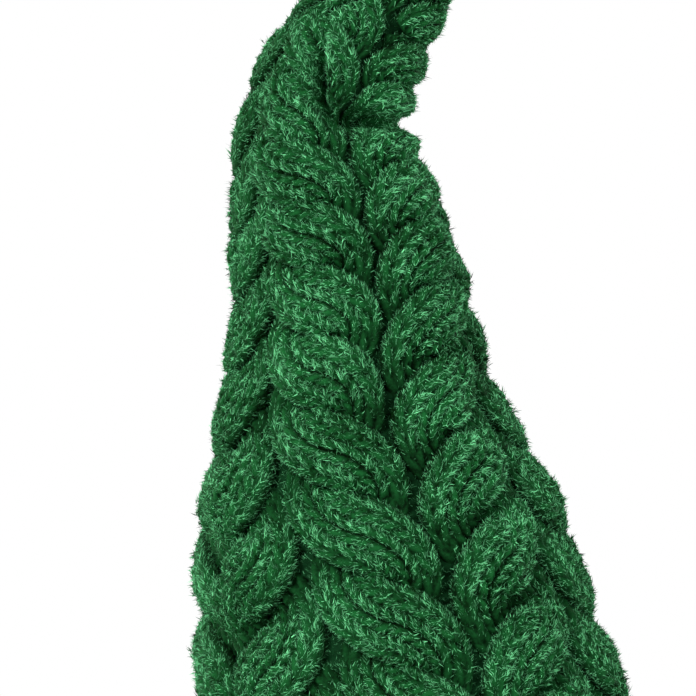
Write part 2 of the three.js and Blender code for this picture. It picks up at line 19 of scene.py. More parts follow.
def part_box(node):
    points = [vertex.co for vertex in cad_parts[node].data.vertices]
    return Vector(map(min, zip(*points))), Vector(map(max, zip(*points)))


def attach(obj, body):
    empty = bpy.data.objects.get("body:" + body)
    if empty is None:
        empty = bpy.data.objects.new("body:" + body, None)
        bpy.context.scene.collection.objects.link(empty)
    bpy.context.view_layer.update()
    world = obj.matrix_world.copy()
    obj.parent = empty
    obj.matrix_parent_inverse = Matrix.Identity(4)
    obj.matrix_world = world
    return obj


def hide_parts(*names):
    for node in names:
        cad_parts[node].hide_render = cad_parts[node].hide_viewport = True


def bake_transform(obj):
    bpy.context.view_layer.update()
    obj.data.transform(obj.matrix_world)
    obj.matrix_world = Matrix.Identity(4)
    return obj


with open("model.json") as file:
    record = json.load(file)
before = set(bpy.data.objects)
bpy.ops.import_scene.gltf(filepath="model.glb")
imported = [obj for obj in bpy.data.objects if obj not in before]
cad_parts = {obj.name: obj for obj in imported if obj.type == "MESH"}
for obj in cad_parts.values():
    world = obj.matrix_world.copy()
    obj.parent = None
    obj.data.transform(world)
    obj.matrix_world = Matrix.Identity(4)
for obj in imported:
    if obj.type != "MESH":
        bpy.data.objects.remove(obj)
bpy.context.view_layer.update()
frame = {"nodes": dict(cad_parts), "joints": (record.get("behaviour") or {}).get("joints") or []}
MM = 0.001
JOINTS = {joint["name"]: joint for joint in frame["joints"]}
SIDES = (("left", 1), ("right", -1))


def placed(name, data):
    """A new object in the scene that holds data."""
    made = bpy.data.objects.new(name, data)
    bpy.context.scene.collection.objects.link(made)
    return made


# %% [markdown]
# ## Camera, light and floor
#
# Wool shows its shape only in soft light: a hard lamp turns every fibre into glare. A white world
# gives even light from all round, as a light tent does, and two large lamps add just enough
# direction to read the relief of the knitting. The view is level, at the height of the crease in
# the hat, through a long lens, so the cone keeps its straight sides.

# %% Camera
crease_at = Vector(JOINTS["hat_crease"]["pos_m"])
VIEW_DISTANCE = 1.0
VIEW_WIDTH = 174 * MM
VIEW_FROM_CREASE = Vector((4.2 * MM, -VIEW_DISTANCE, -63.1 * MM))
SENSOR = 36.0
camera_data = bpy.data.cameras.new("camera")
camera_data.sensor_width = SENSOR
camera_data.lens = SENSOR * VIEW_DISTANCE / VIEW_WIDTH
camera_data.clip_start = 0.01
camera = placed("camera", camera_data)
camera.location = crease_at + VIEW_FROM_CREASE
camera.rotation_euler = (math.radians(90), 0, 0)
bpy.context.scene.camera = camera

# %% World and lamps
ROOM_LIGHT = 0.42
bpy.context.scene.view_settings.view_transform = "Standard"
world = bpy.data.worlds.new("white_room")
bpy.context.scene.world = world
world.use_nodes = True
sky = world.node_tree.nodes["Background"]
sky.inputs["Color"].default_value = (1, 1, 1, 1)
seen = world.node_tree.nodes.new("ShaderNodeLightPath")
strength = world.node_tree.nodes.new("ShaderNodeMapRange")
strength.inputs["To Min"].default_value = ROOM_LIGHT
world.node_tree.links.new(seen.outputs["Is Camera Ray"], strength.inputs["Value"])
world.node_tree.links.new(strength.outputs["Result"], sky.inputs["Strength"])


def lamp(name, place, aim, size, power):
    """A square soft lamp at place that points at aim, in metres and watts."""
    data = bpy.data.lights.new(name, "AREA")
    data.size = size
    data.energy = power
    made = placed(name, data)
    made.location = place
    made.rotation_euler = (Vector(aim) - Vector(place)).to_track_quat("-Z", "Y").to_euler()


mid_hat = crease_at - Vector((0, 0, 0.1))
lamp("key_lamp", (-2.1, -2.7, 2.9), mid_hat, size=1.35, power=190)
lamp("fill_lamp", (2.7, -2.1, 1.3), mid_hat, size=2.4, power=45)
lamp("left_rim_lamp", (-2.4, 1.7, 1.0), mid_hat, size=1.5, power=75)
lamp("right_rim_lamp", (2.4, 1.8, 1.0), mid_hat, size=1.5, power=50)

# %% Floor
FLOOR_RADIUS = 2.1
floor_mesh = bpy.data.meshes.new("floor")
drawn = bmesh.new()
bmesh.ops.create_circle(drawn, cap_ends=True, segments=96, radius=FLOOR_RADIUS)
drawn.to_mesh(floor_mesh)
drawn.free()
pale = bpy.data.materials.new("pale_floor")
pale.use_nodes = True
pale_inputs = pale.node_tree.nodes["Principled BSDF"].inputs
pale_inputs["Base Color"].default_value = (0.86, 0.86, 0.86, 1)
pale_inputs["Roughness"].default_value = 0.9
pale_inputs["Emission Color"].default_value = (1, 1, 1, 1)
pale_inputs["Emission Strength"].default_value = 0.12
floor_mesh.materials.append(pale)
floor = placed("floor", floor_mesh)

# %% [markdown]
# ## Materials: one recipe, many cloths
#
# Wool, felt and hair are never one flat colour. Fibres take the dye unevenly, lie at different
# angles and shade each other. Every material here is a node group that blends a dark tint into a
# light one by some pattern, and gives the pattern's height for the bump. The cloths share one
# pattern: a slow noise for patches and a fast noise for single fibres. Wood and weave have others.


# %% A group from a pattern
def add_node(tree, kind, **settings):
    """A new node with its properties set, and with inputs set where a setting names one."""
    node = tree.nodes.new(kind)
    for key, value in settings.items():
        if hasattr(node, key):
            setattr(node, key, value)
        else:
            node.inputs[key.replace("_", " ")].default_value = value
    return node


def computed(tree, operation, *values):
    """A math node's result from sockets and numbers."""
    node = add_node(tree, "ShaderNodeMath", operation=operation)
    for socket, value in zip(node.inputs, values):
        if isinstance(value, float):
            socket.default_value = value
        else:
            tree.links.new(value, socket)
    return node.outputs[0]


def spread(tree, value, low, high):
    """A value stretched so that low becomes 0 and high becomes 1, and cut off there."""
    node = add_node(tree, "ShaderNodeMapRange", From_Min=low, From_Max=high)
    tree.links.new(value, node.inputs["Value"])
    return node.outputs["Result"]


def texture_at(tree, kind, places, scale=None, **settings):
    """A texture's value at places, with its scale linked where a socket is given."""
    texture = add_node(tree, kind, **settings)
    tree.links.new(places, texture.inputs["Vector"])
    if scale:
        tree.links.new(scale, texture.inputs["Scale"])
    return texture.outputs["Fac"]


def make_group(name, numbers, pattern):
    """A group that blends Dark into Light. pattern makes the blend and the height from its numbers."""
    group = bpy.data.node_groups.new(name, "ShaderNodeTree")
    for label, default in {"Dark": (0, 0, 0, 1), "Light": (1, 1, 1, 1), **numbers}.items():
        kind = "NodeSocketFloat" if isinstance(default, float) else "NodeSocketColor"
        group.interface.new_socket(label, in_out="INPUT", socket_type=kind).default_value = default
    for label, kind in (("Color", "NodeSocketColor"), ("Height", "NodeSocketFloat")):
        group.interface.new_socket(label, in_out="OUTPUT", socket_type=kind)
    given = group.nodes.new("NodeGroupInput").outputs
    put = group.nodes.new("NodeGroupOutput").inputs
    places = add_node(group, "ShaderNodeTexCoord").outputs["Object"]
    share, height = pattern(group, given, places)
    blend = add_node(group, "ShaderNodeMix", data_type="RGBA")
    factor, dark, light = blend.inputs[0], blend.inputs[6], blend.inputs[7]
    group.links.new(share, factor)
    group.links.new(given["Dark"], dark)
    group.links.new(given["Light"], light)
    group.links.new(blend.outputs[2], put["Color"])
    group.links.new(height, put["Height"])
    return group


# %% The three patterns
def fibre_pattern(tree, given, places):
    """Slow noise for patches and fast noise for fibres, with a tint added; per-fibre pieces put painted
    shade into that tint.
    """
    patches = texture_at(tree, "ShaderNodeTexNoise", places, given["Patch Scale"], Detail=2.0, Roughness=0.6)
    fibres = texture_at(tree, "ShaderNodeTexNoise", places, given["Fibre Scale"], Detail=3.0, Roughness=0.6)
    tinted = computed(tree, "MULTIPLY_ADD", fibres, 0.65, given["Tint"])
    patched = computed(tree, "MULTIPLY_ADD", patches, 0.5, tinted)
    return spread(tree, patched, 0.62, 1.5), fibres


def ring_pattern(tree, given, places):
    """Rings of a trunk whose heart lies beside the piece, stretched along the grain, and pores."""
    trunk = add_node(tree, "ShaderNodeMapping", Location=(-0.021, 0.0, -0.094), Scale=(1, 0.22, 1))
    tree.links.new(places, trunk.inputs["Vector"])
    bent = {"Distortion": 3.5, "Detail": 3.0, "Detail_Scale": 0.6}
    rings = texture_at(
        tree, "ShaderNodeTexWave", trunk.outputs[0], given["Ring Scale"],
        wave_type="RINGS", rings_direction="Y", **bent
    )
    pores = texture_at(tree, "ShaderNodeTexNoise", trunk.outputs[0], Scale=1800.0, Detail=2.0)
    grain = computed(tree, "MULTIPLY_ADD", rings, 0.6, pores)
    return spread(tree, grain, 0.3, 1.15), grain


def weave_pattern(tree, given, places):
    """Two sets of threads that cross, with painted shade wherever either of them sinks."""
    bands = [
        texture_at(
            tree, "ShaderNodeTexWave", places, given["Thread Scale"],
            wave_type="BANDS", bands_direction=direction, Distortion=0.4
        )
        for direction in ("X", "Z")
    ]
    crossing = computed(tree, "MULTIPLY", *bands)
    return crossing, crossing


FIBRES = make_group(
    "fibre_colour", {"Patch Scale": 60.0, "Fibre Scale": 1500.0, "Tint": 0.5}, fibre_pattern
)
RINGS = make_group("wood_rings", {"Ring Scale": 120.0}, ring_pattern)
WOVEN = make_group("woven_threads", {"Thread Scale": 300.0}, weave_pattern)


# %% Materials from the groups
def grouped_material(name, group, dark, light, numbers, bump, distance=0.2, per_fibre=False, **shading):
    """A material with a group's colour and height. per_fibre reads each point's tint, with its painted
    shade, from the mesh.
    """
    material = bpy.data.materials.new(name)
    material.use_nodes = True
    tree = material.node_tree
    shader = tree.nodes["Principled BSDF"]
    for label, value in shading.items():
        shader.inputs[label.replace("_", " ")].default_value = value
    colour = tree.nodes.new("ShaderNodeGroup")
    colour.node_tree = group
    for label, value in {"Dark": (*dark, 1), "Light": (*light, 1), **numbers}.items():
        colour.inputs[label].default_value = value
    if per_fibre:
        own = add_node(tree, "ShaderNodeAttribute", attribute_name="tint_and_shade")
        tree.links.new(own.outputs["Fac"], colour.inputs["Tint"])
    tree.links.new(colour.outputs["Color"], shader.inputs["Base Color"])
    raised = add_node(tree, "ShaderNodeBump", Strength=bump, Distance=distance * MM)
    tree.links.new(colour.outputs["Height"], raised.inputs["Height"])
    tree.links.new(raised.outputs["Normal"], shader.inputs["Normal"])
    return material


def fibre_material(name, dark, light, patch, fibre, bump, sheen, per_fibre=False):
    """A cloth or hair material, with the scales of its patches and its fibres."""
    return grouped_material(
        name, FIBRES, dark, light, {"Patch Scale": patch, "Fibre Scale": fibre}, bump, 0.4, per_fibre,
        Roughness=0.85, Sheen_Weight=sheen, Sheen_Roughness=0.45, Sheen_Tint=(*light, 1),
        Specular_IOR_Level=0.06
    )


# GREEN_CORE, the yarn under the fuzz, is far darker than the fuzz: painted shade between the fibres.
GREEN_CORE = ((0.0002, 0.008, 0.001), (0.008, 0.10, 0.022))
# GREEN_FUZZ's light end is the fibres' colour turned paler and bluer by painted sheen; the fuzz material has
# no sheen of its own.
GREEN_FUZZ = ((0.0002, 0.02, 0.001), (0.205, 0.79, 0.345))
GREEN_SHADE = ((0.0002, 0.005, 0.001), (0.004, 0.045, 0.012))
GREEN_LINING = ((0.002, 0.02, 0.006), (0.012, 0.075, 0.025))
YARN = fibre_material("green_yarn", *GREEN_CORE, 45, 1300, 0.6, 0, per_fibre=True)
FUZZ = fibre_material("green_fuzz", *GREEN_FUZZ, 45, 600, 0, 0, per_fibre=True)
# The ground's yarn is the darker GREEN_SHADE: painted shade in the gutters between cables and in the sunk
# columns of the cuff.
SHADED_GROUND = fibre_material("green_ground_painted_shade", *GREEN_SHADE, 45, 1300, 0.6, 0)
LINING = fibre_material("green_lining_felt", *GREEN_LINING, 60, 1500, 0.4, 0.1)
WADDING = fibre_material("white_wadding", (0.55, 0.54, 0.5), (0.9, 0.89, 0.86), 70, 700, 0.6, 0.2)

# %% [markdown]
# ## The hat's shape
#
# The hat is a knitted cone that sits level on the head, leans over to one side, folds sharply at
# one crease and droops at its tip. Everything on it is placed by three numbers: how far **round**
# the cone it is, how far **along** the cone's bent centre line, and how far it stands **proud** of
# the surface. One function turns those into a point, so yarn, ribs and fuzz all follow the bends.

# %% The centre line and the radius
BRIM_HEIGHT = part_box("hat_knit_lower")[0].z / MM
HAT_LENGTH = 345.0
CREASE_FROM, CREASE_TO = 210.0, 242.0
NOD_FROM, NOD_TO = 254.0, 274.0
TIP_BEND_FROM, TIP_BEND_TO = 290.0, 310.0
HEADINGS = ((0, 0), (60, -8.3), (210, -8.3), (242, 30.7), (254, 30.7), (274, 38.7), (290, 38.7), (310, 88.7))
CREASE_RADIUS = 21.5
RADII = ((0, 68), (70, 52.5), (89, 48.0), (104, 45.2), (118, 43.6), (133, 38.6), (148, 33.4), (162, 30.0))
RADII += ((177, 27.2), (191, 25.6), (206, 22.6), (221, 19.3), (236, 17.8), (254, 13.6), (290, 10.5))
RADII += ((320, 8.0), (338, 6.4), (345, 5.5))
SWAYS = ((0, 0), (104, -0.8), (118, -1.5), (133, -2.5), (148, -3.0), (162, -1.0), (177, 0.6))
SWAYS += ((200, 0.2), (213, -1.2), (228, 0.6), (254, 3.0))

TIP_CLOSES = 335.0
STEP = 0.25
ALONG = np.arange(-20, HAT_LENGTH + 20, STEP)
heading_table = np.radians(np.interp(ALONG, *zip(*HEADINGS)))
axis_x = np.cumsum(np.sin(heading_table)) * STEP
axis_z = np.cumsum(np.cos(heading_table)) * STEP
axis_x -= np.interp(0, ALONG, axis_x)
axis_z += BRIM_HEIGHT - np.interp(0, ALONG, axis_z)
rounded = np.interp(ALONG, *zip(*RADII))
window = np.hanning(61)
radius_table = np.convolve(np.pad(rounded, 30, "edge"), window / window.sum(), "valid")
sways = np.convolve(np.pad(np.interp(ALONG, *zip(*SWAYS)), 30, "edge"), window / window.sum(), "valid")


def heading(along):
    """How far the centre line leans there, in radians from upright."""
    return np.interp(along, ALONG, heading_table)


def radius(along):
    """The cone's radius there, in mm."""
    return np.interp(along, ALONG, radius_table)


def centre(along):
    """The centre line's point there, as a Vector in metres."""
    return Vector((np.interp(along, ALONG, axis_x), 0, np.interp(along, ALONG, axis_z))) * MM


for joint, at in (("hat_crease", 226), ("hat_nod", 264), ("hat_tip_bend", 300)):
    off = (centre(at) - Vector(JOINTS[joint]["pos_m"])).length / MM
    print(f"{joint} lies {off:.2f} mm from the centre line")


# %% Folds, and the placing function
def smooth(value):
    """An S-shaped ramp from 0 at value 0 to 1 at value 1."""
    value = np.clip(value, 0, 1)
    return value * value * (3 - 2 * value)


def hump(offset, width):
    """A smooth hump of height 1 that has fallen to a third at width."""
    return np.exp(-((offset / width) ** 2))


def rising(turn, start, over):
    """From 0 at the angle start to 1 at over degrees past it."""
    return smooth((turn - math.radians(start)) / math.radians(over))


def falling(turn, start, over):
    """From 1 at over degrees before the angle start to 0 there."""
    return smooth((math.radians(start) - turn) / math.radians(over))


FOLD_AT, FOLD_CLIMB = 219, 17
FOLD_SHALLOW, FOLD_DEEPER = 3.2, 4.6
LIP_HEIGHT, OVERHANG = 0.3, 1.9


def fold(turn, along):
    """How far the crease pushes the cloth in (below 0) or out at an angle round the hat."""
    past = along - (FOLD_AT + FOLD_CLIMB * falling(turn, 8, 36))
    strength = rising(turn, -48, 40) * falling(turn, 150, 50)
    groove = -(FOLD_SHALLOW + FOLD_DEEPER * falling(turn, 76, 40)) * hump(past, 3.4)
    inner_side = rising(turn, 35, 40)
    lip = LIP_HEIGHT * hump(past + 7, 3.5) * inner_side
    overhang = OVERHANG * hump(past - 6.5, 4) * (1 - inner_side)
    return strength * (groove + lip + overhang)


def on_hat(around, along, proud):
    """Points (metres) on the hat from mm round it (from the front, to +X), along it, and proud."""
    around, along, proud = np.broadcast_arrays(around, along, proud)
    size = radius(along)
    turn = around / np.maximum(size, CREASE_RADIUS)
    slim = np.minimum(size / CREASE_RADIUS, 1)
    past = np.maximum(along - TIP_CLOSES, 0) / (HAT_LENGTH - TIP_CLOSES)
    closing = np.sqrt(np.clip(1 - past**2, 0, 1))
    out = (size + proud * slim + fold(turn, along)) * closing
    aim = heading(along)
    aside = out * np.sin(turn) + np.interp(along, ALONG, sways)
    x = np.interp(along, ALONG, axis_x) + aside * np.cos(aim)
    y = -out * np.cos(turn)
    z = np.interp(along, ALONG, axis_z) - aside * np.sin(aim)
    return np.stack((x, y, z), axis=-1) * MM


# %% [markdown]
# ## A knitted strand
#
# A cable is a rope of knitting: two strands, each three columns of stitches wide, twist round each
# other. A strand is a soft flat tube. Curves with a bevel could make the tube, but they can't give it
# stitches, so a plain grid is rolled up instead: its rows follow the strand's path, its columns go
# round the strand, and each vertex is pushed out by a formula for the V-shaped stitches.

# %% Rolling a grid into a strand
def rolled(drawn, places, shade=None):
    """A closed tube in bmesh drawn from places[ring, round the tube], joined along its seam."""
    rings, sides = places.shape[:2]
    closed = np.concatenate((places, places[:, :1]), axis=1)
    bmesh.ops.create_grid(drawn, x_segments=sides, y_segments=rings - 1, size=0.5)
    own = drawn.verts.layers.float.get("tint_and_shade") or drawn.verts.layers.float.new("tint_and_shade")
    tints = np.full((rings, sides + 1), 0.5) if shade is None else np.concatenate((shade, shade[:, :1]), 1)
    drawn.verts.ensure_lookup_table()
    for vert in drawn.verts[-(sides + 1) * rings :]:
        across = round((vert.co.x + 0.5) * sides)
        ring = round((vert.co.y + 0.5) * (rings - 1))
        vert.co = closed[ring, across]
        vert[own] = tints[ring, across]


def piece_from(drawn, name, material, merge=1e-6):
    """The bmesh as a finished object at the origin, with its doubles merged and faces outwards."""
    bmesh.ops.remove_doubles(drawn, verts=drawn.verts, dist=merge)
    bmesh.ops.recalc_face_normals(drawn, faces=drawn.faces)
    mesh = bpy.data.meshes.new(name)
    drawn.to_mesh(mesh)
    drawn.free()
    mesh.shade_smooth()
    mesh.materials.append(material)
    return placed(name, mesh)


def shut(places):
    """The places of a tube, with each end drawn together to one point."""
    places[0], places[-1] = places[0].mean(axis=0), places[-1].mean(axis=0)
    return places


# %% The strand's section, with its stitches
TOP_POINTS, UNDER_POINTS = 31, 5
top_angles = np.arccos(np.linspace(1, -1, TOP_POINTS)) * 0.6 + np.linspace(0, math.pi, TOP_POINTS) * 0.4
under_angles = np.linspace(math.pi, 2 * math.pi, UNDER_POINTS + 2)[1:-1]
SECTION = np.concatenate((top_angles, under_angles))
STITCH_ROW = 3.3


def strand_offsets(length, width, thick, wales=3, stitch=1.7):
    """Sideways and outward offsets (mm) of a strand's section along it, and its relief from 0 to 1."""
    length = np.asarray(length)[:, None]
    width, thick = np.asarray(width)[..., None], np.asarray(thick)[..., None]
    side = np.cos(SECTION)[None]
    rise = np.sin(SECTION)[None]
    share = (side + 1) * wales
    leg = np.floor(np.clip(share, 0, 2 * wales - 1e-6))
    across = share - leg - 0.5
    row = length / STITCH_ROW + np.where(leg % 2 == 0, 0.85, -0.85) * across
    within = row - np.floor(row) - 0.5
    relief = (1 - np.abs(2 * across) ** 2.6) ** 0.6 * (1 - np.abs(2 * within) ** 2.6) ** 0.6
    relief = relief * np.clip(rise, 0, 1) ** 0.4
    outward = thick * np.sign(rise) * np.abs(rise) ** 0.7 + stitch * relief
    return width / 2 * side, outward, relief


# %% [markdown]
# ## The cables
#
# Each cable column twists the opposite way to its neighbours. In a twist, one strand crosses in front
# while the other passes behind, then they swap. Sideways that is a cosine, and front to back a sine.
# The columns keep their width all the way up, so the cone loses them at the seam behind, where
# the cloth is turned in. Above the crease the same columns carry on and get narrower.

# %% Where the columns run
def column_pitch(along):
    """How wide a cable column is there, in mm."""
    return np.interp(along, (80, 200), (34.0, 31.5))


def column_drift(along):
    """How far round the hat the columns have wandered there, in mm."""
    return np.interp(along, (0, 80, 100, 125, 150, 226), (12, 2.5, -1.5, -5.7, -8.5, -9.2))


cross_length = np.interp(ALONG, (0, 90, 120, 200, 226, 345), (22, 22, 21.5, 14.8, 14, 7))
crossings = np.cumsum(STEP / cross_length)
crossings -= np.interp(167, ALONG, crossings)
PHASES = {-1: 0.35, 0: 0.0, 1: 0.5, 2: 0.9}
RING_STEP = 0.84
SEAM_DEPTH = 5.0


def column_phase(column):
    """How far a column's twist is ahead of the front column's, in crossings."""
    return PHASES.get(column, (column * 0.37) % 1)


STRAND_SHARE = 0.525
FRONT_WIDER = 0.06
STRAND_THICK, FRONT_THICKER = 2.1, 0.9
STRAND_DEPTH, FRONT_HIGHER = 3.2, 2.0


def strand_places(column, second, start, end):
    """A strand's points[ring, round it] in metres between two places along the hat, and its front share."""
    sample = np.arange(start, end, 0.2)
    twist = 1 if column % 2 else -1
    pitch = column_pitch(sample)
    turn = np.pi * (np.interp(sample, ALONG, crossings) + column_phase(column) + second)
    swing = np.sign(np.cos(turn)) * np.abs(np.cos(turn)) ** 0.75
    aside = column_drift(sample) + column * pitch - twist * 0.25 * pitch * swing
    slim = np.minimum(radius(sample) / CREASE_RADIUS, 1)
    run = np.concatenate(([0], np.cumsum(np.hypot(np.diff(aside) * slim[1:], np.diff(sample)))))
    count = max(int(run[-1] / RING_STEP), 2)
    length = np.linspace(0, run[-1], count)
    along = np.interp(length, run, sample)
    around = np.interp(length, run, aside)
    turn = np.interp(length, run, turn)
    slim = np.interp(length, run, slim)
    front = np.sin(turn)
    slope = np.gradient(around, along) * slim
    lean = np.hypot(1, slope)
    width = STRAND_SHARE * column_pitch(along) * (1 + FRONT_WIDER * front)
    thick = STRAND_THICK + FRONT_THICKER * front
    sideways, outward, relief = strand_offsets(length, width, thick)
    depth = -STRAND_DEPTH + FRONT_HIGHER * front
    a = around[:, None] + sideways / lean[:, None]
    s = along[:, None] - sideways * slim[:, None] * slope[:, None] / lean[:, None]
    h = depth[:, None] + outward
    return a, s, h, front, relief


def wobble(a, s):
    """Slow unevenness of hand knitting, at most 0.75 mm."""
    waves = np.sin(a * 0.31 + s * 0.17) + np.sin(a * 0.13 - s * 0.43 + 1.3)
    return 0.25 * (waves + np.sin(a * 0.71 + s * 0.29 + 4.1))


def seamed(a, s, h):
    """Turns in what reaches past the seam at the back of the hat."""
    seam = np.pi * np.maximum(radius(s), CREASE_RADIUS) - 1.5
    past = np.abs(a) - seam
    tucked = smooth(past / 4 + 0.5)
    a = np.where(past > 0, np.sign(a) * (seam + np.clip(past, 0, 3) * 0.2), a)
    return a, s, h - SEAM_DEPTH * tucked


# %% Knit the columns
HAT_ZONES = (
    ("lower", 16, 248, "figure", "hat_middle", CREASE_FROM, CREASE_TO),
    ("upper", 248, 282, "hat_middle", "hat_upper", NOD_FROM, NOD_TO),
    ("end", 282, 344.6, "hat_upper", "hat_end", TIP_BEND_FROM, TIP_BEND_TO),
)


def bend_with_hat(piece):
    """Bakes the piece's place into its mesh."""
    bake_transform(piece)


def column_reach(column, start, end):
    """The part of start to end along the hat where the column is on the cloth, or None."""
    along = np.arange(start, end, 1.0)
    half = np.pi * np.maximum(radius(along), CREASE_RADIUS)
    on_cloth = np.abs(column_drift(along) + column * column_pitch(along)) < half + 10
    if not on_cloth.any():
        return None
    return along[on_cloth][0], along[on_cloth][-1] + 1


knitted = []
cable_count = 0
for zone in HAT_ZONES:
    label, start, end = zone[:3]
    for column in range(-7, 8):
        reach = column_reach(column, start, end)
        if not reach or reach[1] - reach[0] < 6:
            continue
        drawn = bmesh.new()
        for second in (0, 1):
            a, s, h, front, relief = strand_places(column, second, *reach)
            h += wobble(a, s)
            places = shut(on_hat(*seamed(a, s, h)))
            # Painted shade: the strand's tint follows its stitch relief and is darker where it passes behind
            # the other strand.
            shown = smooth((front + 0.75) / 1.2)[:, None]
            relief = relief * (0.55 + 0.45 * shown)
            rolled(drawn, places, 0.75 * relief)
            knitted.append((zone, places, front, relief))
        cable = piece_from(drawn, f"hat_cable_{label}_{column + 7}", YARN)
        bend_with_hat(cable)
        cable_count += 1
print("cable pieces:", cable_count)

# %% A sewn chain over the seam at the back
for zone in HAT_ZONES:
    label, start, end = zone[:3]
    run = np.arange(start, end, RING_STEP)
    sideways, outward, relief = strand_offsets(run, 13 + 0 * run, 3.2 + 0 * run, wales=2)
    seam_line = np.pi * np.maximum(radius(run), CREASE_RADIUS)[:, None] + 1.2 * wobble(0, run)[:, None]
    places = shut(on_hat(seam_line + sideways, run[:, None], -0.8 + outward))
    drawn = bmesh.new()
    # Painted shade: the chain's tint follows its stitch relief, darker between stitches.
    rolled(drawn, places, 0.75 * relief)
    knitted.append((zone, places, np.ones(len(run)), relief))
    chain = piece_from(drawn, f"hat_seam_chain_{label}", YARN)
    bend_with_hat(chain)

# %% [markdown]
# ## The ground between the cables
#
# Between two cables runs a narrow gutter of purl stitches: little rungs, like a ladder, with dark
# gaps between them. A closed shell under the cables carries those rungs, in yarn painted darker than the
# cables' as painted shade in the gutter.

# %% Shells that follow the hat
def hat_shell(name, material, start, end, outer, inner, across=3.6, step=1.1):
    """A closed tube wall between two proud heights (mm), each a function of around and along."""
    along = np.arange(start, end + step, step)
    widest = np.pi * max(radius(start), CREASE_RADIUS)
    share = np.linspace(-1, 1, int(2 * widest / across), endpoint=False)[None]
    s = along[:, None] + 0 * share
    a = share * np.pi * np.maximum(radius(s), CREASE_RADIUS)
    wall = np.concatenate((on_hat(a, s, outer(a, s)), on_hat(a, s, inner(a, s))[::-1]))
    drawn = bmesh.new()
    rolled(drawn, np.concatenate((wall, wall[:1])))
    return piece_from(drawn, name, material), a, s


def rungs(a, s):
    """How proud the rungs of purl between the cables are."""
    return -5.8 + 2.6 * np.abs(np.sin(np.pi * (s + wobble(0.6 * a, s)) / STITCH_ROW)) ** 0.5


def level(height):
    """The same proud height everywhere."""
    return lambda a, s: height + 0 * s


# %% Ground, felt lining and wadding
STOOD_FOR = {
    "lower": ("hat_knit_lower", "hat_knit_crease", "hat_knit_middle"),
    "upper": ("hat_knit_nod", "hat_knit_upper"),
    "end": ("hat_knit_tip_bend", "hat_knit_tip"),
}
gutters = []
for zone in HAT_ZONES:
    label, start, end = zone[:3]
    start, end = (2 if label == "lower" else start), (344.8 if label == "end" else end)
    ground, a, s = hat_shell(f"hat_ground_{label}", SHADED_GROUND, start, end, rungs, level(-8))
    gutters.append((zone, a, s))
    bend_with_hat(ground)
    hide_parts(*STOOD_FOR[label])

lining, _, _ = hat_shell("hat_felt_lining", LINING, 3, 208, level(-8.4), level(-9.8), across=4, step=3)
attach(lining, "figure")
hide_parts("hat_lining")


def hat_lump(name, start, end, height, lumps):
    """A closed lump of wadding that fills the hat between two places along it."""
    share = np.linspace(-1, 1, 48, endpoint=False)[None]
    s = np.arange(start, end + 1, 1.5)[:, None] + 0 * share
    a = share * np.pi * np.maximum(radius(s), CREASE_RADIUS)
    ends = np.minimum(s - start, end - s)
    places = on_hat(a, s, height - 5 * np.exp(-ends / 3) + lumps * wobble(1.7 * a, 1.3 * s))
    places[0], places[-1] = centre(start), centre(end)
    drawn = bmesh.new()
    rolled(drawn, places)
    return piece_from(drawn, name, WADDING)


LUMPS = (("lower", 48, 205, "figure"), ("middle", 240, 256, "hat_middle"), ("upper", 276, 290, "hat_upper"))
for label, start, end, body in LUMPS:
    lump = hat_lump(f"hat_wadding_lump_{label}", start, end, height=-11.5, lumps=1.5)
    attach(lump, body)
    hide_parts(f"hat_wadding_{label}")

# %% [markdown]
# ## Fuzz
#
# Brushed yarn is covered in short fibres that lie nearly flat and follow the stitches. Blender's own
# hair would draw them, but it isn't a mesh, so other programs would lose it. Each fibre is one
# thin triangle instead. They are scattered over the strands with a seeded random generator, and each
# has its own random tint, with painted shade and light on top: darker at the root, lighter at the tip.

# %% Scatter fibres over a strand
rng = np.random.default_rng(7)
FIBRE_LENGTH = (1.0, 1.9)
FIBRE_WIDTH = 0.29
FIBRES_PER_MM2 = 4.8
STITCH_SLANT = math.radians(34)


def scattered(
    places, share_kept, relief, wales=3, density=FIBRES_PER_MM2, sides=TOP_POINTS - 1, lift=(0, 14)
):
    """Roots, tips, sides and tints of fibres over places[ring, side], in metres. Each tint is random tone
    plus painted shade where the relief is low.
    """
    near = places[:-1, :sides]
    along = places[1:, :sides] - near
    across = places[:-1, 1 : sides + 1] - near
    share_kept = share_kept.reshape(len(places), -1)
    area = np.linalg.norm(np.cross(along, across), axis=-1) * share_kept[:-1, : near.shape[1]]
    total = area.sum() / MM**2
    count = int(total * density)
    chance = np.cumsum(area.ravel())
    pick = np.searchsorted(chance, rng.random(count) * chance[-1])
    u, v = rng.random((2, count, 1))
    near, along, across = (grid.reshape(-1, 3)[pick] for grid in (near, along, across))
    roots = near + along * u + across * v
    along /= np.linalg.norm(along, axis=1, keepdims=True) + 1e-12
    normal = np.cross(along, across)
    normal /= np.linalg.norm(normal, axis=1, keepdims=True) + 1e-12
    sideways = np.cross(along, normal)
    at_side = (pick % sides) + v[:, 0]
    leg = np.floor(np.interp(at_side % len(SECTION), np.arange(len(SECTION)), (np.cos(SECTION) + 1) * wales))
    spin = np.where(leg % 2 == 0, -STITCH_SLANT, STITCH_SLANT)[:, None]
    spin = spin + rng.normal(0, math.radians(28), (count, 1))
    spin = spin + np.where(rng.random((count, 1)) < 0.8, 0, np.pi)
    rise = np.radians(rng.uniform(*lift, (count, 1)))
    flat = along * np.cos(spin) + sideways * np.sin(spin)
    aim = flat * np.cos(rise) + normal * np.sin(rise)
    length = rng.uniform(*FIBRE_LENGTH, (count, 1)) * MM
    roll = rng.normal(0, 0.5, (count, 1))
    edge = np.cross(aim, normal) * np.cos(roll) + normal * np.sin(roll)
    # Painted shade: fibres where the relief is low get a darker tint.
    raised = relief[:-1, :sides].ravel()[pick]
    tint_and_shade = np.clip(rng.normal(-0.05, 0.24, count) + 0.66 * raised, 0, 1.2)
    return roots - normal * 0.15 * MM, roots + aim * length, edge, tint_and_shade


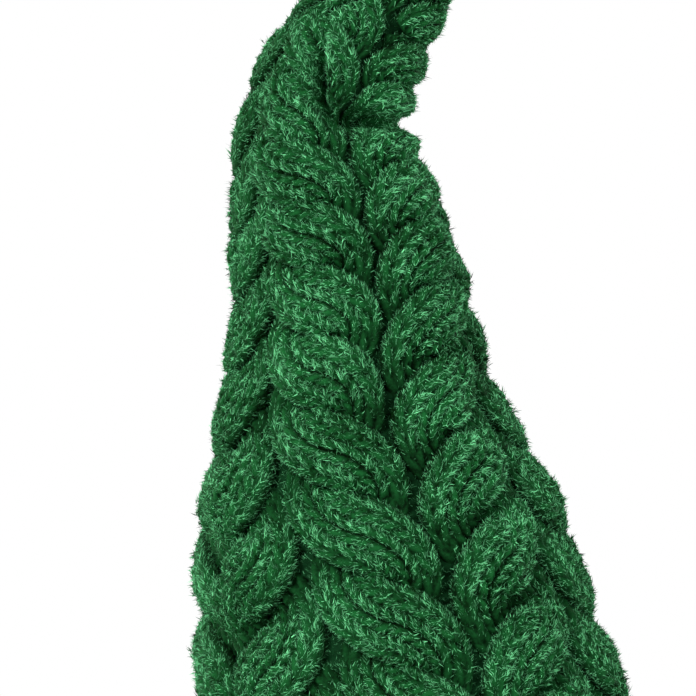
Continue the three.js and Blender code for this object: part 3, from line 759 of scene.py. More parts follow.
def flat_piece(name, corners, faces, tints, uv_shape, cell, cells, material):
    """Many small flat faces as one mesh: a tint, which can carry painted shade, at each point, and a cell of
    the UVs for each face.
    """
    mesh = bpy.data.meshes.new(name)
    mesh.vertices.add(len(corners))
    mesh.vertices.foreach_set("co", corners.astype(np.float32).ravel())
    mesh.loops.add(faces.size)
    mesh.loops.foreach_set("vertex_index", faces.astype(np.int32).ravel())
    mesh.polygons.add(len(faces))
    starts = np.arange(0, faces.size, faces.shape[1], dtype=np.int32)
    mesh.polygons.foreach_set("loop_start", starts)
    mesh.update(calc_edges=True)
    tint_and_shade = mesh.attributes.new("tint_and_shade", "FLOAT", "POINT")
    tint_and_shade.data.foreach_set("value", tints.astype(np.float32).ravel())
    cell = cell % (cells * cells)
    low = np.stack((cell % cells, cell // cells), axis=1)[:, None] / cells
    uvs = low + np.array(uv_shape)[None] / cells
    mesh.uv_layers.new(name="OFBake").data.foreach_set("uv", uvs.astype(np.float32).ravel())
    mesh.materials.append(material)
    return placed(name, mesh)


def fibre_piece(name, batches, material, width=FIBRE_WIDTH):
    """One mesh of many single-triangle fibres, with painted shade that makes each darker at its root than at
    its tip.
    """
    roots, tips, edge, tint_and_shade = (np.concatenate(part) for part in zip(*batches))
    half = edge * width / 2 * MM
    corners = np.stack((roots - half, roots + half, tips), axis=1)
    faces = np.arange(len(roots) * 3).reshape(-1, 3)
    # Painted shade at each fibre's root and painted light at its tip.
    shade = np.stack((tint_and_shade * 0.6, tint_and_shade * 0.6, tint_and_shade + 0.12), axis=1)
    thin = ((0.2, 0.2), (0.8, 0.2), (0.5, 0.85))
    return flat_piece(name, corners.reshape(-1, 3), faces, shade, thin, np.arange(len(roots)), 96, material)


# %% Cover the cables
MOST_FIBRES = 150000
for zone in HAT_ZONES:
    batches = []
    for own, places, front, relief in knitted:
        if own is zone:
            share = 0.1 + 0.9 * smooth((front + 0.6) / 0.9)
            batches.append(scattered(places, share, relief))
    for own, a, s in gutters:
        if own is zone:
            column = (a - column_drift(s)) / column_pitch(s) - 0.5
            away = np.abs(column - np.round(column)) * column_pitch(s)
            places = on_hat(a, s, rungs(a, s))[:, ::-1]
            share = hump(away, 3.2)[:, ::-1] * (np.cos(a[:, ::-1] / radius(s)) > -0.9)
            # Painted shade: fibres in the gutters get a low relief, so a darker tint.
            grooves = 0.25 + 0 * share
            batches.append(scattered(places, share, grooves, density=2.6, sides=places.shape[1] - 1))
    fibres = [np.concatenate(part) for part in zip(*batches)]
    total = len(fibres[0])
    parts = math.ceil(total / MOST_FIBRES)
    for part in range(parts):
        share = slice(part * total // parts, (part + 1) * total // parts)
        piece = fibre_piece(f"hat_fuzz_{zone[0]}_{part + 1}", [[values[share] for values in fibres]], FUZZ)
        bend_with_hat(piece)
    print(f"fibres on the {zone[0]} part: {total} in {parts} pieces")

# %% [markdown]
# ## The folded rib cuff
#
# The hat ends in a band of ribbing, folded up. Rib is columns of plain stitches that stand out and
# columns of purl that sink in. The same strand, two stitches wide, makes each rib; a flat band
# behind them fills the sunk columns. They share the hat's own placing function, so they lean with it.

# %% Knit the ribs
RIB_COUNT = 28
CUFF_TOP = 26.0
rib_run = np.arange(0.8, CUFF_TOP, RING_STEP)
rib_end = np.abs(2 * (rib_run - rib_run.mean()) / (rib_run[-1] - rib_run[0]))
rib_thick = 3.0 * np.sqrt(np.clip(1 - rib_end**6, 0.02, 1))
drawn = bmesh.new()
batches = []
for rib in range(RIB_COUNT):
    width = 0.8 * 2 * np.pi * radius(rib_run) / RIB_COUNT
    sideways, outward, relief = strand_offsets(rib_run + 0.4 * rib, width, rib_thick, wales=2, stitch=1.5)
    middle = (2 * np.pi * (rib + 0.5) / RIB_COUNT - np.pi) * radius(rib_run)
    h = 2.2 + outward + 0.7 * wobble(middle[:, None] + sideways, rib_run[:, None])
    places = shut(on_hat(middle[:, None] + sideways, rib_run[:, None], h))
    # Painted shade: each rib's tint follows its stitch relief.
    rolled(drawn, places, 0.75 * relief)
    batches.append(scattered(places, np.ones(len(places)), relief, wales=2))
ribs = piece_from(drawn, "hat_cuff_ribs", YARN)
# The band behind the ribs takes the ground's darker yarn, as painted shade in the sunk columns.
band, _, _ = hat_shell(
    "hat_cuff_band", SHADED_GROUND, 1.5, CUFF_TOP - 0.5, level(1.6), level(-1.5), across=2, step=1.5
)
fuzz = fibre_piece("hat_cuff_fuzz", batches, FUZZ)
for piece in (ribs, band, fuzz):
    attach(piece, "figure")
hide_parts("hat_cuff")
print("ribs in the cuff:", RIB_COUNT, "fibres:", len(fuzz.data.polygons))

# %% [markdown]
# ## Felt, hair, wood and thread
#
# The gnome's other cloths use the same colour group with other tints: heather-grey felt for the body
# and sleeves, green felt for the mittens, charcoal felt for the boots, cream wool for the beard and the
# sleeve cuffs. Wood needs rings instead, and the woven backing needs crossing threads.

# %% Felts and wools
HEATHER = ((0.13, 0.125, 0.12), (0.42, 0.40, 0.38))
HEATHER_HAIRS = ((0.05, 0.05, 0.05), (0.62, 0.6, 0.56))
MOSS = ((0.006, 0.045, 0.014), (0.03, 0.15, 0.056))
MOSS_HAIRS = ((0.003, 0.04, 0.008), (0.075, 0.27, 0.12))
CHARCOAL = ((0.012, 0.01, 0.009), (0.085, 0.07, 0.062))
CHARCOAL_HAIRS = ((0.012, 0.01, 0.009), (0.16, 0.14, 0.125))
SOLE_GREY = ((0.02, 0.018, 0.016), (0.075, 0.068, 0.062))
CREAM = ((0.36, 0.31, 0.24), (0.8, 0.74, 0.63))
CREAM_HAIRS = ((0.5, 0.44, 0.35), (0.93, 0.88, 0.78))
FLEECE = ((0.42, 0.37, 0.29), (0.9, 0.86, 0.77))
WAXED = ((0.45, 0.38, 0.26), (0.85, 0.79, 0.64))
SLATE = ((0.05, 0.05, 0.05), (0.16, 0.155, 0.15))
JUTE = ((0.36, 0.29, 0.17), (0.66, 0.57, 0.38))
FELT = fibre_material("grey_felt", *HEATHER, 90, 900, 0.8, 0.15)
FELT_HAIRS = fibre_material("grey_felt_hairs", *HEATHER_HAIRS, 90, 500, 0, 0, per_fibre=True)
GREEN_FELT = fibre_material("green_felt", *MOSS, 90, 900, 0.8, 0.15)
GREEN_HAIRS = fibre_material("green_felt_hairs", *MOSS_HAIRS, 90, 500, 0, 0, per_fibre=True)
BOOT_FELT = fibre_material("charcoal_felt", *CHARCOAL, 90, 900, 0.8, 0.15)
BOOT_HAIRS = fibre_material("charcoal_hairs", *CHARCOAL_HAIRS, 90, 500, 0, 0, per_fibre=True)
SOLE_FELT = fibre_material("sole_felt", *SOLE_GREY, 90, 900, 0.8, 0.1)
CREAM_YARN = fibre_material("cream_yarn", *CREAM, 60, 1300, 0.6, 0.1, per_fibre=True)
CREAM_FUZZ = fibre_material("cream_fuzz", *CREAM_HAIRS, 60, 600, 0, 0, per_fibre=True)
HAIR = fibre_material("beard_wool", *FLEECE, 50, 700, 0.5, 0.1, per_fibre=True)
THREAD = fibre_material("waxed_thread", *WAXED, 300, 2500, 0.4, 0.1)
GREY_THREAD = fibre_material("grey_thread", *SLATE, 300, 2500, 0.4, 0.1)
BALLAST = fibre_material("ballast_bag_cloth", *JUTE, 200, 900, 0.5, 0.1)

# %% Wood with rings, weave, leather and steel
BIRCH = ((0.52, 0.30, 0.15), (0.70, 0.46, 0.26))
PLY = ((0.4, 0.23, 0.11), (0.72, 0.5, 0.3))
LINEN = ((0.4, 0.36, 0.29), (0.74, 0.69, 0.6))
HIDE = ((0.06, 0.03, 0.014), (0.2, 0.11, 0.055))
IRON = ((0.4, 0.41, 0.43), (0.66, 0.67, 0.69))
NOSE_WOOD = grouped_material("turned_birch", RINGS, *BIRCH, {"Ring Scale": 85.0}, 0.15, Roughness=0.5)
PLY_WOOD = grouped_material("plywood", RINGS, *PLY, {"Ring Scale": 60.0}, 0.25, Roughness=0.6)
WEAVE = grouped_material("backing_weave", WOVEN, *LINEN, {"Thread Scale": 260.0}, 0.8, Roughness=0.9)
worn = {"Patch Scale": 90.0, "Fibre Scale": 700.0}
LEATHER = grouped_material("sole_leather", FIBRES, *HIDE, worn, 0.5, Roughness=0.5)
drawn_out = {"Patch Scale": 200.0, "Fibre Scale": 900.0}
STEEL = grouped_material("wire_steel", FIBRES, *IRON, drawn_out, 0.2, Roughness=0.35, Metallic=1.0)

# %% Finish the parts that keep their mechanical shape
KEPT = {"ballast_bag": BALLAST, "nose_dowel": NOSE_WOOD, "nose_washer": NOSE_WOOD}
KEPT |= {"beard_backing": WEAVE, "wire_anchor_disc": PLY_WOOD, "wire_crimp": STEEL}
KEPT |= {name: STEEL for name in frame["nodes"] if name.startswith("hat_wire")}
for side, _ in SIDES:
    KEPT[f"shoulder_thread_{side}"] = THREAD
    KEPT[f"inner_button_{side}"] = NOSE_WOOD
    KEPT[f"arm_filling_{side}"] = WADDING
for name, material in KEPT.items():
    slots = frame["nodes"][name].data.materials
    slots.clear()
    slots.append(material)
print("mechanical parts given a finish:", len(KEPT))

# %% [markdown]
# ## Stuffing felt
#
# A felt skin filled with wadding is slightly swollen everywhere and pulled in at its seams. Modelling
# that by eye is slow, and a cloth simulation does it well: the closed skin is remeshed evenly, blown
# up by pressure for twenty frames, and stopped before it leaves its room. Seams are pressed in after,
# because remeshing would erase them, and the thread that holds them is laid on top.


# %% Helpers for padded pieces
def points_of(mesh):
    """The mesh's points in metres, one in each row."""
    flat = np.empty(len(mesh.vertices) * 3, np.float32)
    mesh.vertices.foreach_get("co", flat)
    return flat.reshape(-1, 3).astype(float)


def set_points(mesh, points):
    """Moves the mesh's points to the rows of points."""
    mesh.vertices.foreach_set("co", points.astype(np.float32).ravel())
    mesh.update()


def settle(piece):
    """The piece's mesh becomes what its modifiers make of it."""
    graph = bpy.context.evaluated_depsgraph_get()
    made = bpy.data.meshes.new_from_object(piece.evaluated_get(graph))
    piece.modifiers.clear()
    piece.data = made
    made.shade_smooth()


def evened(piece, voxel):
    """Remeshes the piece's closed skin into even faces about voxel (mm) wide."""
    even = piece.modifiers.new("even", "REMESH")
    even.mode = "VOXEL"
    even.voxel_size = voxel * MM
    settle(piece)


def rounded_off(piece):
    """Subdivides the piece's faces once, smoothly."""
    fine = piece.modifiers.new("round", "SUBSURF")
    fine.levels = fine.render_levels = 1
    settle(piece)


STUFFING_FRAMES = 20


def stuffed(piece, swell, voxel=5.0, pressure=4.0):
    """Fills the piece's closed skin by cloth simulation. No point moves more than swell (mm)."""
    evened(piece, voxel)
    before = points_of(piece.data)
    cloth = piece.modifiers.new("filling", "CLOTH")
    cloth.settings.use_pressure = True
    cloth.settings.uniform_pressure_force = pressure
    cloth.settings.effector_weights.gravity = 0
    for number in range(1, STUFFING_FRAMES + 1):
        bpy.context.scene.frame_set(number)
    settle(piece)
    moved = points_of(piece.data) - before
    far = np.linalg.norm(moved, axis=1, keepdims=True) + 1e-9
    set_points(piece.data, before + moved * np.minimum(1, swell * MM / far))
    bpy.context.scene.frame_set(1)
    print(f"{piece.name}: stuffed, the skin moved {min(far.max() / MM, swell):.1f} mm at most")
    rounded_off(piece)


def copy_of(node, name, material):
    """A new piece with the shape of a CAD node, its doubles merged."""
    drawn = bmesh.new()
    drawn.from_mesh(frame["nodes"][node].data)
    return piece_from(drawn, name, material, merge=1e-5)


# %% Thread and hairs
def tube_places(path, radii, sides=6):
    """Rings of a thin tube round a path, shut at both ends. All in metres."""
    path = np.asarray(path, float)
    radii = np.broadcast_to(radii, len(path))
    tangent = np.gradient(path, axis=0)
    tangent /= np.linalg.norm(tangent, axis=1, keepdims=True)
    guide = np.eye(3)[np.argmin(np.abs(tangent).mean(axis=0))]
    across = np.cross(tangent, guide)
    across /= np.linalg.norm(across, axis=1, keepdims=True)
    upward = np.cross(tangent, across)
    turns = np.linspace(0, 2 * np.pi, sides, endpoint=False)[None, :, None]
    ring = across[:, None] * np.cos(turns) + upward[:, None] * np.sin(turns)
    places = path[:, None] + ring * radii[:, None, None]
    places[0], places[-1] = path[0], path[-1]
    return places


def stitch(drawn, start, end, outward, thick=0.45):
    """One short stitch from start to end that dips in at both ends."""
    share = np.linspace(0, 1, 6)[:, None]
    start, end, outward = (np.asarray(value, float) for value in (start, end, outward))
    path = start + (end - start) * share + outward * (1.1 * np.sin(np.pi * share) - 0.35) * MM * 0.8
    rolled(drawn, tube_places(path, thick * MM))


def sewn(drawn, tree, starts, way, thick):
    """One stitch on a skin, from and to where rays from the two starts come in against way."""
    ends = [tree.ray_cast(Vector(start), -Vector(way))[0] for start in starts]
    if all(ends):
        stitch(drawn, *ends, way, thick)


def skin_tree(piece):
    """A tree that finds where a ray meets the piece."""
    return BVHTree.FromPolygons(
        [vert.co for vert in piece.data.vertices], [face.vertices[:] for face in piece.data.polygons]
    )


def hairs_on(piece, name, material, density, length, lift=(5, 50), width=0.12, fall=0):
    """Fibres all over a piece's skin, in every direction, or hanging where fall is above 1."""
    mesh = piece.data
    mesh.calc_loop_triangles()
    corner = points_of(mesh)[np.array([tri.vertices[:] for tri in mesh.loop_triangles])]
    near, first, second = corner[:, 0], corner[:, 1] - corner[:, 0], corner[:, 2] - corner[:, 0]
    normal = np.cross(first, second)
    area = np.linalg.norm(normal, axis=1) / 2
    count = int(area.sum() / MM**2 * density)
    pick = rng.choice(len(area), count, p=area / area.sum())
    u, v = rng.random((2, count, 1))
    u, v = np.where(u + v > 1, 1 - u, u), np.where(u + v > 1, 1 - v, v)
    roots = near[pick] + first[pick] * u + second[pick] * v
    normal = normal[pick] / (np.linalg.norm(normal[pick], axis=1, keepdims=True) + 1e-12)
    way = np.cross(normal, rng.normal(size=(count, 3))) - (0, 0, fall)
    flat = way - normal * (way * normal).sum(axis=1, keepdims=True)
    flat /= np.linalg.norm(flat, axis=1, keepdims=True) + 1e-12
    rise = np.radians(rng.uniform(*lift, (count, 1)))
    aim = flat * np.cos(rise) + normal * np.sin(rise)
    tips = roots + aim * rng.uniform(*length, (count, 1)) * MM
    batch = (roots - normal * 0.1 * MM, tips, np.cross(aim, normal), rng.random(count))
    return fibre_piece(name, [batch], material, width)


# %% [markdown]
# ## The body
#
# The body is a bag of heather-grey felt, sewn from four panels and stuffed round a wooden board. Its
# outline is read from the mechanical body, so it keeps its room. The grid is rolled into a closed
# skin, stuffed, and then the four seams are pressed in and sewn with small grey stitches.


# %% Roll and stuff the body
def outline(node):
    """Heights and radii (mm) of the outer face of a round, bulging node, read from its mesh."""
    points = points_of(frame["nodes"][node].data) / MM
    heights = np.round(points[:, 2], 1)
    widest = []
    for level in np.unique(heights):
        corner = (level, np.hypot(*points[heights == level, :2].T).max())
        while len(widest) > 1:
            (z0, r0), (z1, r1) = widest[-2:]
            if (r1 - r0) * (corner[0] - z0) > (corner[1] - r0) * (z1 - z0):
                break
            widest.pop()
        widest.append(corner)
    return np.array(widest).T


def turned(heights, radii, sides=72):
    """Places of a round skin from its profile, with its ends shut at the axis."""
    angle = np.linspace(0, 2 * np.pi, sides, endpoint=False)[None]
    ring = np.stack((np.cos(angle) + 0 * angle, np.sin(angle), 0 * angle), axis=-1)
    places = ring * np.asarray(radii)[:, None, None]
    places[..., 2] = np.asarray(heights)[:, None]
    places[0, :, :2] = places[-1, :, :2] = 0
    return places * MM


BODY_INSET = 2.0
SEAM_TURNS = np.radians((40, 140, 220, 320))
levels, outer = outline("body_shell")
bottom, top = levels[0] + 0.3, levels[-1] - 2.5
heights = np.concatenate(([bottom, bottom], np.linspace(bottom + 1.5, top, 60), [top]))
radii = np.interp(heights, levels, outer) - BODY_INSET
radii[1] -= 2.5
drawn = bmesh.new()
rolled(drawn, turned(heights, radii))
body = piece_from(drawn, "body_felt_skin", FELT)
stuffed(body, swell=2.2)


# %% Press in the seams
def press_seams(points, depth, spread):
    """Body points with a groove along each seam and a slow unevenness."""
    reach = np.hypot(points[:, 0], points[:, 1])
    turn = np.arctan2(points[:, 1], points[:, 0])
    away = np.full(len(points), 1e3)
    for seam in SEAM_TURNS:
        away = np.minimum(away, np.abs((turn - seam + np.pi) % (2 * np.pi) - np.pi) * reach / MM)
    push = -depth * hump(away, spread) + 0.25 * wobble(turn * 40, points[:, 2] / MM * 0.8)
    side = smooth((reach / MM - 20) / 20)
    scale = 1 + push * side * MM / np.maximum(reach, 10 * MM)
    return np.stack((points[:, 0] * scale, points[:, 1] * scale, points[:, 2]), axis=1)


pressed = press_seams(points_of(body.data), depth=1.3, spread=2.4)
pressed[:, 2] = np.maximum(pressed[:, 2], (levels[0] - 0.1) * MM)
set_points(body.data, pressed)
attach(body, "figure")
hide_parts("body_shell")

fill_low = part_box("body_filling")[0].z / MM
inside = np.concatenate(([fill_low], np.linspace(fill_low, top - 4, 40), [top - 3]))
drawn = bmesh.new()
rolled(drawn, turned(inside, np.interp(inside, levels, outer) - 6 + 0.6 * np.sin(inside * 0.5)))
filling = piece_from(drawn, "body_wool_filling", WADDING)
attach(filling, "figure")
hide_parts("body_filling")

SEAM_FROM, SEAM_TO, STITCH_EVERY = 12, 150, 4.5
tree = skin_tree(body)
drawn = bmesh.new()
for seam in SEAM_TURNS:
    out = Vector((math.cos(seam), math.sin(seam), 0))
    across = Vector((-math.sin(seam), math.cos(seam), 0))
    for height in np.arange(SEAM_FROM, SEAM_TO, STITCH_EVERY):
        at = out * 0.1 + Vector((0, 0, height * MM))
        half = (across + Vector((0, 0, 0.5))) * 1.5 * MM
        sewn(drawn, tree, (at - half, at + half), out, thick=0.35)
seams = piece_from(drawn, "body_seam_thread", GREY_THREAD)
hairs = hairs_on(body, "body_felt_hairs", FELT_HAIRS, density=1.05, length=(0.8, 2.2))
for piece in (seams, hairs):
    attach(piece, "figure")

# %% [markdown]
# ## The felt sole
#
# A disc of thick felt closes the body underneath, held by blanket stitch round its edge. A turned
# shape like this is one profile spun once round its axis.


# %% Spin the sole and sew its edge
def spun(name, profile, material, steps=96, base=(0, 0, 0), lean=None):
    """A round piece from a profile of (radius, height) in mm, spun about Z, then placed."""
    drawn = bmesh.new()
    verts = [drawn.verts.new((r * MM, 0, z * MM)) for r, z in profile]
    edges = [drawn.edges.new(pair) for pair in zip(verts, verts[1:])]
    bmesh.ops.spin(
        drawn, geom=verts + edges, axis=(0, 0, 1), cent=(0, 0, 0), steps=steps, angle=2 * math.pi,
        use_merge=True
    )
    if lean is not None:
        bmesh.ops.rotate(drawn, verts=drawn.verts, matrix=lean)
    bmesh.ops.translate(drawn, verts=drawn.verts, vec=base)
    return piece_from(drawn, name, material)


def round_edge(rim, bulge, thick, points):
    """The profile of a disc's rounded edge, from its lower face to its upper one."""
    turns = np.linspace(0, math.pi, points)
    return [(rim - bulge + bulge * math.sin(t), thick / 2 - thick / 2 * math.cos(t)) for t in turns]


sole_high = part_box("base_sole")[1]
rim, thick = sole_high.x / MM, sole_high.z / MM
profile = [(0, 0.02), (rim * 0.5, 0.02), *round_edge(rim, 0.9, thick, 7), (rim * 0.5, thick), (0, thick)]
sole = spun("base_felt_sole", profile, SOLE_FELT)
board_low, board_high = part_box("base_board")
side, plies = board_high.x / MM - 3.2, (board_high.z - board_low.z) / MM
ply_edge = [(side - 0.25 * (number % 2), plies * number / 10) for number in range(11)]
board = spun("base_plywood_disc", [(0, 0), *ply_edge, (0, plies)], PLY_WOOD, base=(0, 0, board_low.z))
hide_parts("base_board")
drawn = bmesh.new()
for turn in np.linspace(0, 2 * np.pi, 84, endpoint=False):
    out = Vector((math.cos(turn), math.sin(turn), 0))
    at = out * (rim - 0.2) * MM
    stitch(drawn, at + Vector((0, 0, 0.5 * MM)), at + Vector((0, 0, (thick + 2.2) * MM)), out, thick=0.45)
edging = piece_from(drawn, "sole_blanket_stitch", THREAD)
for piece, kind in ((sole, "sole_felt"), (edging, "thread"), (board, "bare_wood")):
    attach(piece, "figure")
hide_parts("base_sole")

# %% [markdown]
# ## The wooden nose
#
# The nose is a ball turned on a lathe: not quite round, with a flat at the back where it is glued to its
# dowel, a small nub left by the lathe in front, and grooves as fine as hairs. Its rings run off centre, as
# they do in a blank cut from the side of a branch.

# %% Turn the nose
nose_low, nose_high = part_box("nose_ball")
nose_middle = (nose_low + nose_high) / 2
nose_size = (nose_high.z - nose_low.z) / 2 / MM
profile = []
for turn in np.linspace(0, np.pi, 65):
    size = nose_size * (1 - 0.012 * math.sin(2 * turn)) + 0.04 * math.sin(turn * 90)
    height = size * math.cos(turn)
    profile.append((max(size * math.sin(turn), 0), min(height, (nose_high.y - nose_middle.y) / MM - 0.1)))
front_lean = Vector((0, 0, -1)).rotation_difference(Vector((0, -1, 0))).to_matrix()
nose_centre = (0, nose_low.y + nose_size * MM, nose_middle.z)
nose = spun("nose_turned_ball", profile, NOSE_WOOD, base=nose_centre, lean=front_lean)
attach(nose, "figure")
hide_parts("nose_ball")

# %% [markdown]
# ## The beard
#
# The beard is long pile on a woven backing. It falls in wavy locks: thick and close at the root, thin at
# the tip. Each lock is a soft tapering tube, which gives the beard its body, and each carries a few
# dozen flat hairs that stray from it, which give it its fineness. Upper locks lie over lower ones.

# %% Where the beard's face is
pile_low, pile_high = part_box("beard_pile")
pile_tree = skin_tree(frame["nodes"]["beard_pile"])
face_x = np.linspace(pile_low.x, pile_high.x, 61)
face_z = np.linspace(pile_low.z, pile_high.z, 67)
face_y = np.full((len(face_z), len(face_x)), np.nan)
for row, z in enumerate(face_z):
    for col, x in enumerate(face_x):
        hit = pile_tree.ray_cast(Vector((x, -0.3, z)), Vector((0, 1, 0)))[0]
        if hit:
            face_y[row, col] = hit.y
half_width = np.array([np.abs(face_x[~np.isnan(line)]).max(initial=0) for line in face_y])
for row, line in enumerate(face_y):
    known = ~np.isnan(line)
    if known.any():
        face_y[row] = np.interp(face_x, face_x[known], line[known])
known_rows = ~np.isnan(face_y[:, 0])
face_y = np.stack([np.interp(face_z, face_z[known_rows], column[known_rows]) for column in face_y.T], axis=1)


def face_of_beard(x, z):
    """The beard's front surface (y in metres) at x and z, read between its sampled places."""
    col = np.clip(np.interp(x, face_x, np.arange(len(face_x))), 0, len(face_x) - 1.001)
    row = np.clip(np.interp(z, face_z, np.arange(len(face_z))), 0, len(face_z) - 1.001)
    c, r = col.astype(int), row.astype(int)
    u, v = col - c, row - r
    near = face_y[r, c] * (1 - u) + face_y[r, c + 1] * u
    far = face_y[r + 1, c] * (1 - u) + face_y[r + 1, c + 1] * u
    return near * (1 - v) + far * v


# %% Locks and hairs
beard_rng = np.random.default_rng(21)
LOCK_ROWS, ROW_STEP, LOCK_SPACING = 12, 7.4, 4.6
LOCK_LENGTH, SHORTEST_LOCK = (38, 52), 14
LOCK_SWAY, LOCK_WAVES = (1.6, 3.2), 1.35
HAIRS_PER_LOCK = 54
share = np.linspace(0, 1, 26)


def lock_path(x0, z0, length, wave, turn):
    """A wavy path (metres) that leaves the backing, falls over the beard's face and ends at its tip."""
    bend = share**0.7
    swing = 2 * np.pi * LOCK_WAVES * share + turn
    x = x0 * (1 - 0.14 * share**1.4) + wave * np.sin(swing) * bend
    z = z0 - length * share
    x = np.clip(x, pile_low.x / MM + 2, pile_high.x / MM - 2)
    deep = 5.5 * (1 - smooth(share / 0.5)) + 2.4 + 1.2 * np.sin(swing + 1.6)
    y = face_of_beard(x * MM, np.maximum(z * MM, face_z[0])) / MM + deep
    return np.stack((x, y, z), axis=1) * MM


drawn = bmesh.new()
hair_paths, hair_tints = [], []
locks = 0
top_z, bottom_z = pile_high.z / MM, pile_low.z / MM
for row in range(LOCK_ROWS):
    z0 = top_z + 1.5 - row * ROW_STEP
    half = np.interp(min(z0, top_z - 5) * MM, face_z, half_width) / MM - 0.5
    count = max(int(2 * half / LOCK_SPACING), 2)
    for number in range(count):
        x0 = -half + (number + 0.5 + 0.5 * (row % 2) - 0.25) * 2 * half / count + beard_rng.normal(0, 0.8)
        length = beard_rng.uniform(*LOCK_LENGTH)
        lowest = bottom_z + 0.5 + 0.02 * x0 * x0 + beard_rng.uniform(0, 5)
        length = min(length, z0 - lowest)
        if length < SHORTEST_LOCK:
            continue
        path = lock_path(x0, z0, length, beard_rng.uniform(*LOCK_SWAY), beard_rng.uniform(0, 2 * np.pi))
        thick = (0.2 + 1.9 * np.sin(np.pi * share**0.62) ** 0.8 * (1 - 0.5 * share)) * MM
        tone = beard_rng.uniform(0.15, 0.5)
        places = tube_places(path, thick, sides=10)
        ripple = 1 + 0.13 * np.sin(5 * np.linspace(0, 2 * np.pi, 10, endpoint=False) + 9 * share[:, None])
        places = path[:, None] + (places - path[:, None]) * ripple[..., None]
        rolled(drawn, places, np.full(places.shape[:2], tone))
        locks += 1
        angle = beard_rng.uniform(0, 2 * np.pi, HAIRS_PER_LOCK)[:, None]
        stray = beard_rng.uniform(0.85, 1.35, HAIRS_PER_LOCK)[:, None]
        frizz = beard_rng.uniform(0, 2 * np.pi, HAIRS_PER_LOCK)[:, None]
        off_x = np.cos(angle + 1.2 * share) * thick * stray + 0.35 * MM * np.sin(14 * share + frizz)
        off_y = -np.abs(np.sin(angle + 1.2 * share)) * thick * stray
        hair = path[None] + np.stack((off_x, off_y, 0 * off_x), axis=-1)
        hair[..., 1] = np.maximum(hair[..., 1], pile_low.y - 1.5 * MM)
        hair_paths.append(hair[:, ::3])
        hair_tints.append(np.clip(tone + beard_rng.normal(0.18, 0.22, HAIRS_PER_LOCK), 0, 1.1))
beard = piece_from(drawn, "beard_locks", HAIR)
print("locks:", locks)

# %% The wool under and beside the locks
# Painted shade: the wool under the locks carries no tint on its points, so it takes mostly the dark end of
# its colour.
under_wool = copy_of("beard_pile", "beard_under_wool", HAIR)
evened(under_wool, 3.0)
lower = points_of(under_wool.data)
lower[:, 1] += 7.5 * MM * smooth((-40 * MM - lower[:, 1]) / (14 * MM))
lower[:, 0] *= 0.93
lower[:, 2] = pile_high.z + (lower[:, 2] - pile_high.z) * 0.93
set_points(under_wool.data, lower)
side_wool = hairs_on(
    under_wool, "beard_side_wool", CREAM_FUZZ, 0.8, (7, 14), lift=(1, 14), width=0.5, fall=4
)


def ribbon_piece(name, paths, tints, material, width=0.3):
    """Many flat hairs as one mesh: paths[hair, point], each as wide as width (mm) and pointed."""
    count, length = paths.shape[:2]
    tangent = np.gradient(paths, axis=1)
    across = np.cross(tangent, np.array((0.25, -1.0, 0.1)))
    across /= np.linalg.norm(across, axis=2, keepdims=True) + 1e-12
    taper = np.sqrt(np.linspace(1, 0.02, length))[None, :, None] * width / 2 * MM
    corners = np.stack((paths - across * taper, paths + across * taper), axis=2)
    start = (np.arange(count)[:, None] * length + np.arange(length - 1)[None]).ravel() * 2
    faces = np.stack((start, start + 1, start + 3, start + 2), axis=1)
    shade = np.repeat(tints, length * 2)
    broad = ((0.2, 0.2), (0.8, 0.2), (0.8, 0.8), (0.2, 0.8))
    cell = np.repeat(np.arange(count), length - 1)
    return flat_piece(name, corners.reshape(-1, 3), faces, shade, broad, cell, 128, material)


beard_hairs = ribbon_piece("beard_hairs", np.concatenate(hair_paths), np.concatenate(hair_tints), HAIR)
for piece in (beard, beard_hairs, under_wool, side_wool):
    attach(piece, "figure")
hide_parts("beard_pile")

# %% [markdown]
# ## The arms
#
# Each arm is a stuffed felt sleeve that turns on a buttoned thread, with a knitted cream cuff and a
# green felt mitten. Both arms come from one function, which is told the side, so they mirror each
# other. Sleeve and mitten are stuffed by the same simulation as the body.


# %% Places on an arm
def arm_frame(side, sign):
    """The shoulder, and the arm's down, outward and forward directions, read from the arm's nodes."""
    joint = Vector(JOINTS[f"arm_{side}_swing"]["pos_m"])
    cuff_low, cuff_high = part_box(f"cuff_{side}")
    wrist = (cuff_low + cuff_high) / 2
    down = Vector((wrist.x - joint.x, 0, wrist.z - joint.z)).normalized()
    outward = Vector((-down.z * sign, 0, down.x * sign))
    return joint, down, outward, Vector((0, -1, 0)), (wrist - joint).length / MM


def on_arm(place, around, down, out):
    """Points in metres from an angle round the arm, mm down it and mm out from its axis."""
    joint, axis, outward, forward = place[:4]
    around, down, out = (value[..., None] for value in np.broadcast_arrays(around, down, out))
    ring = np.cos(around) * np.array(outward) + np.sin(around) * np.array(forward)
    return np.array(joint) + (np.array(axis) * down + ring * out) * MM


SHOULDER_RADIUS = 12.4
SLEEVE_TOP, SLEEVE_END = 12.5, 13.4
SEAT_HEIGHT = 7.2


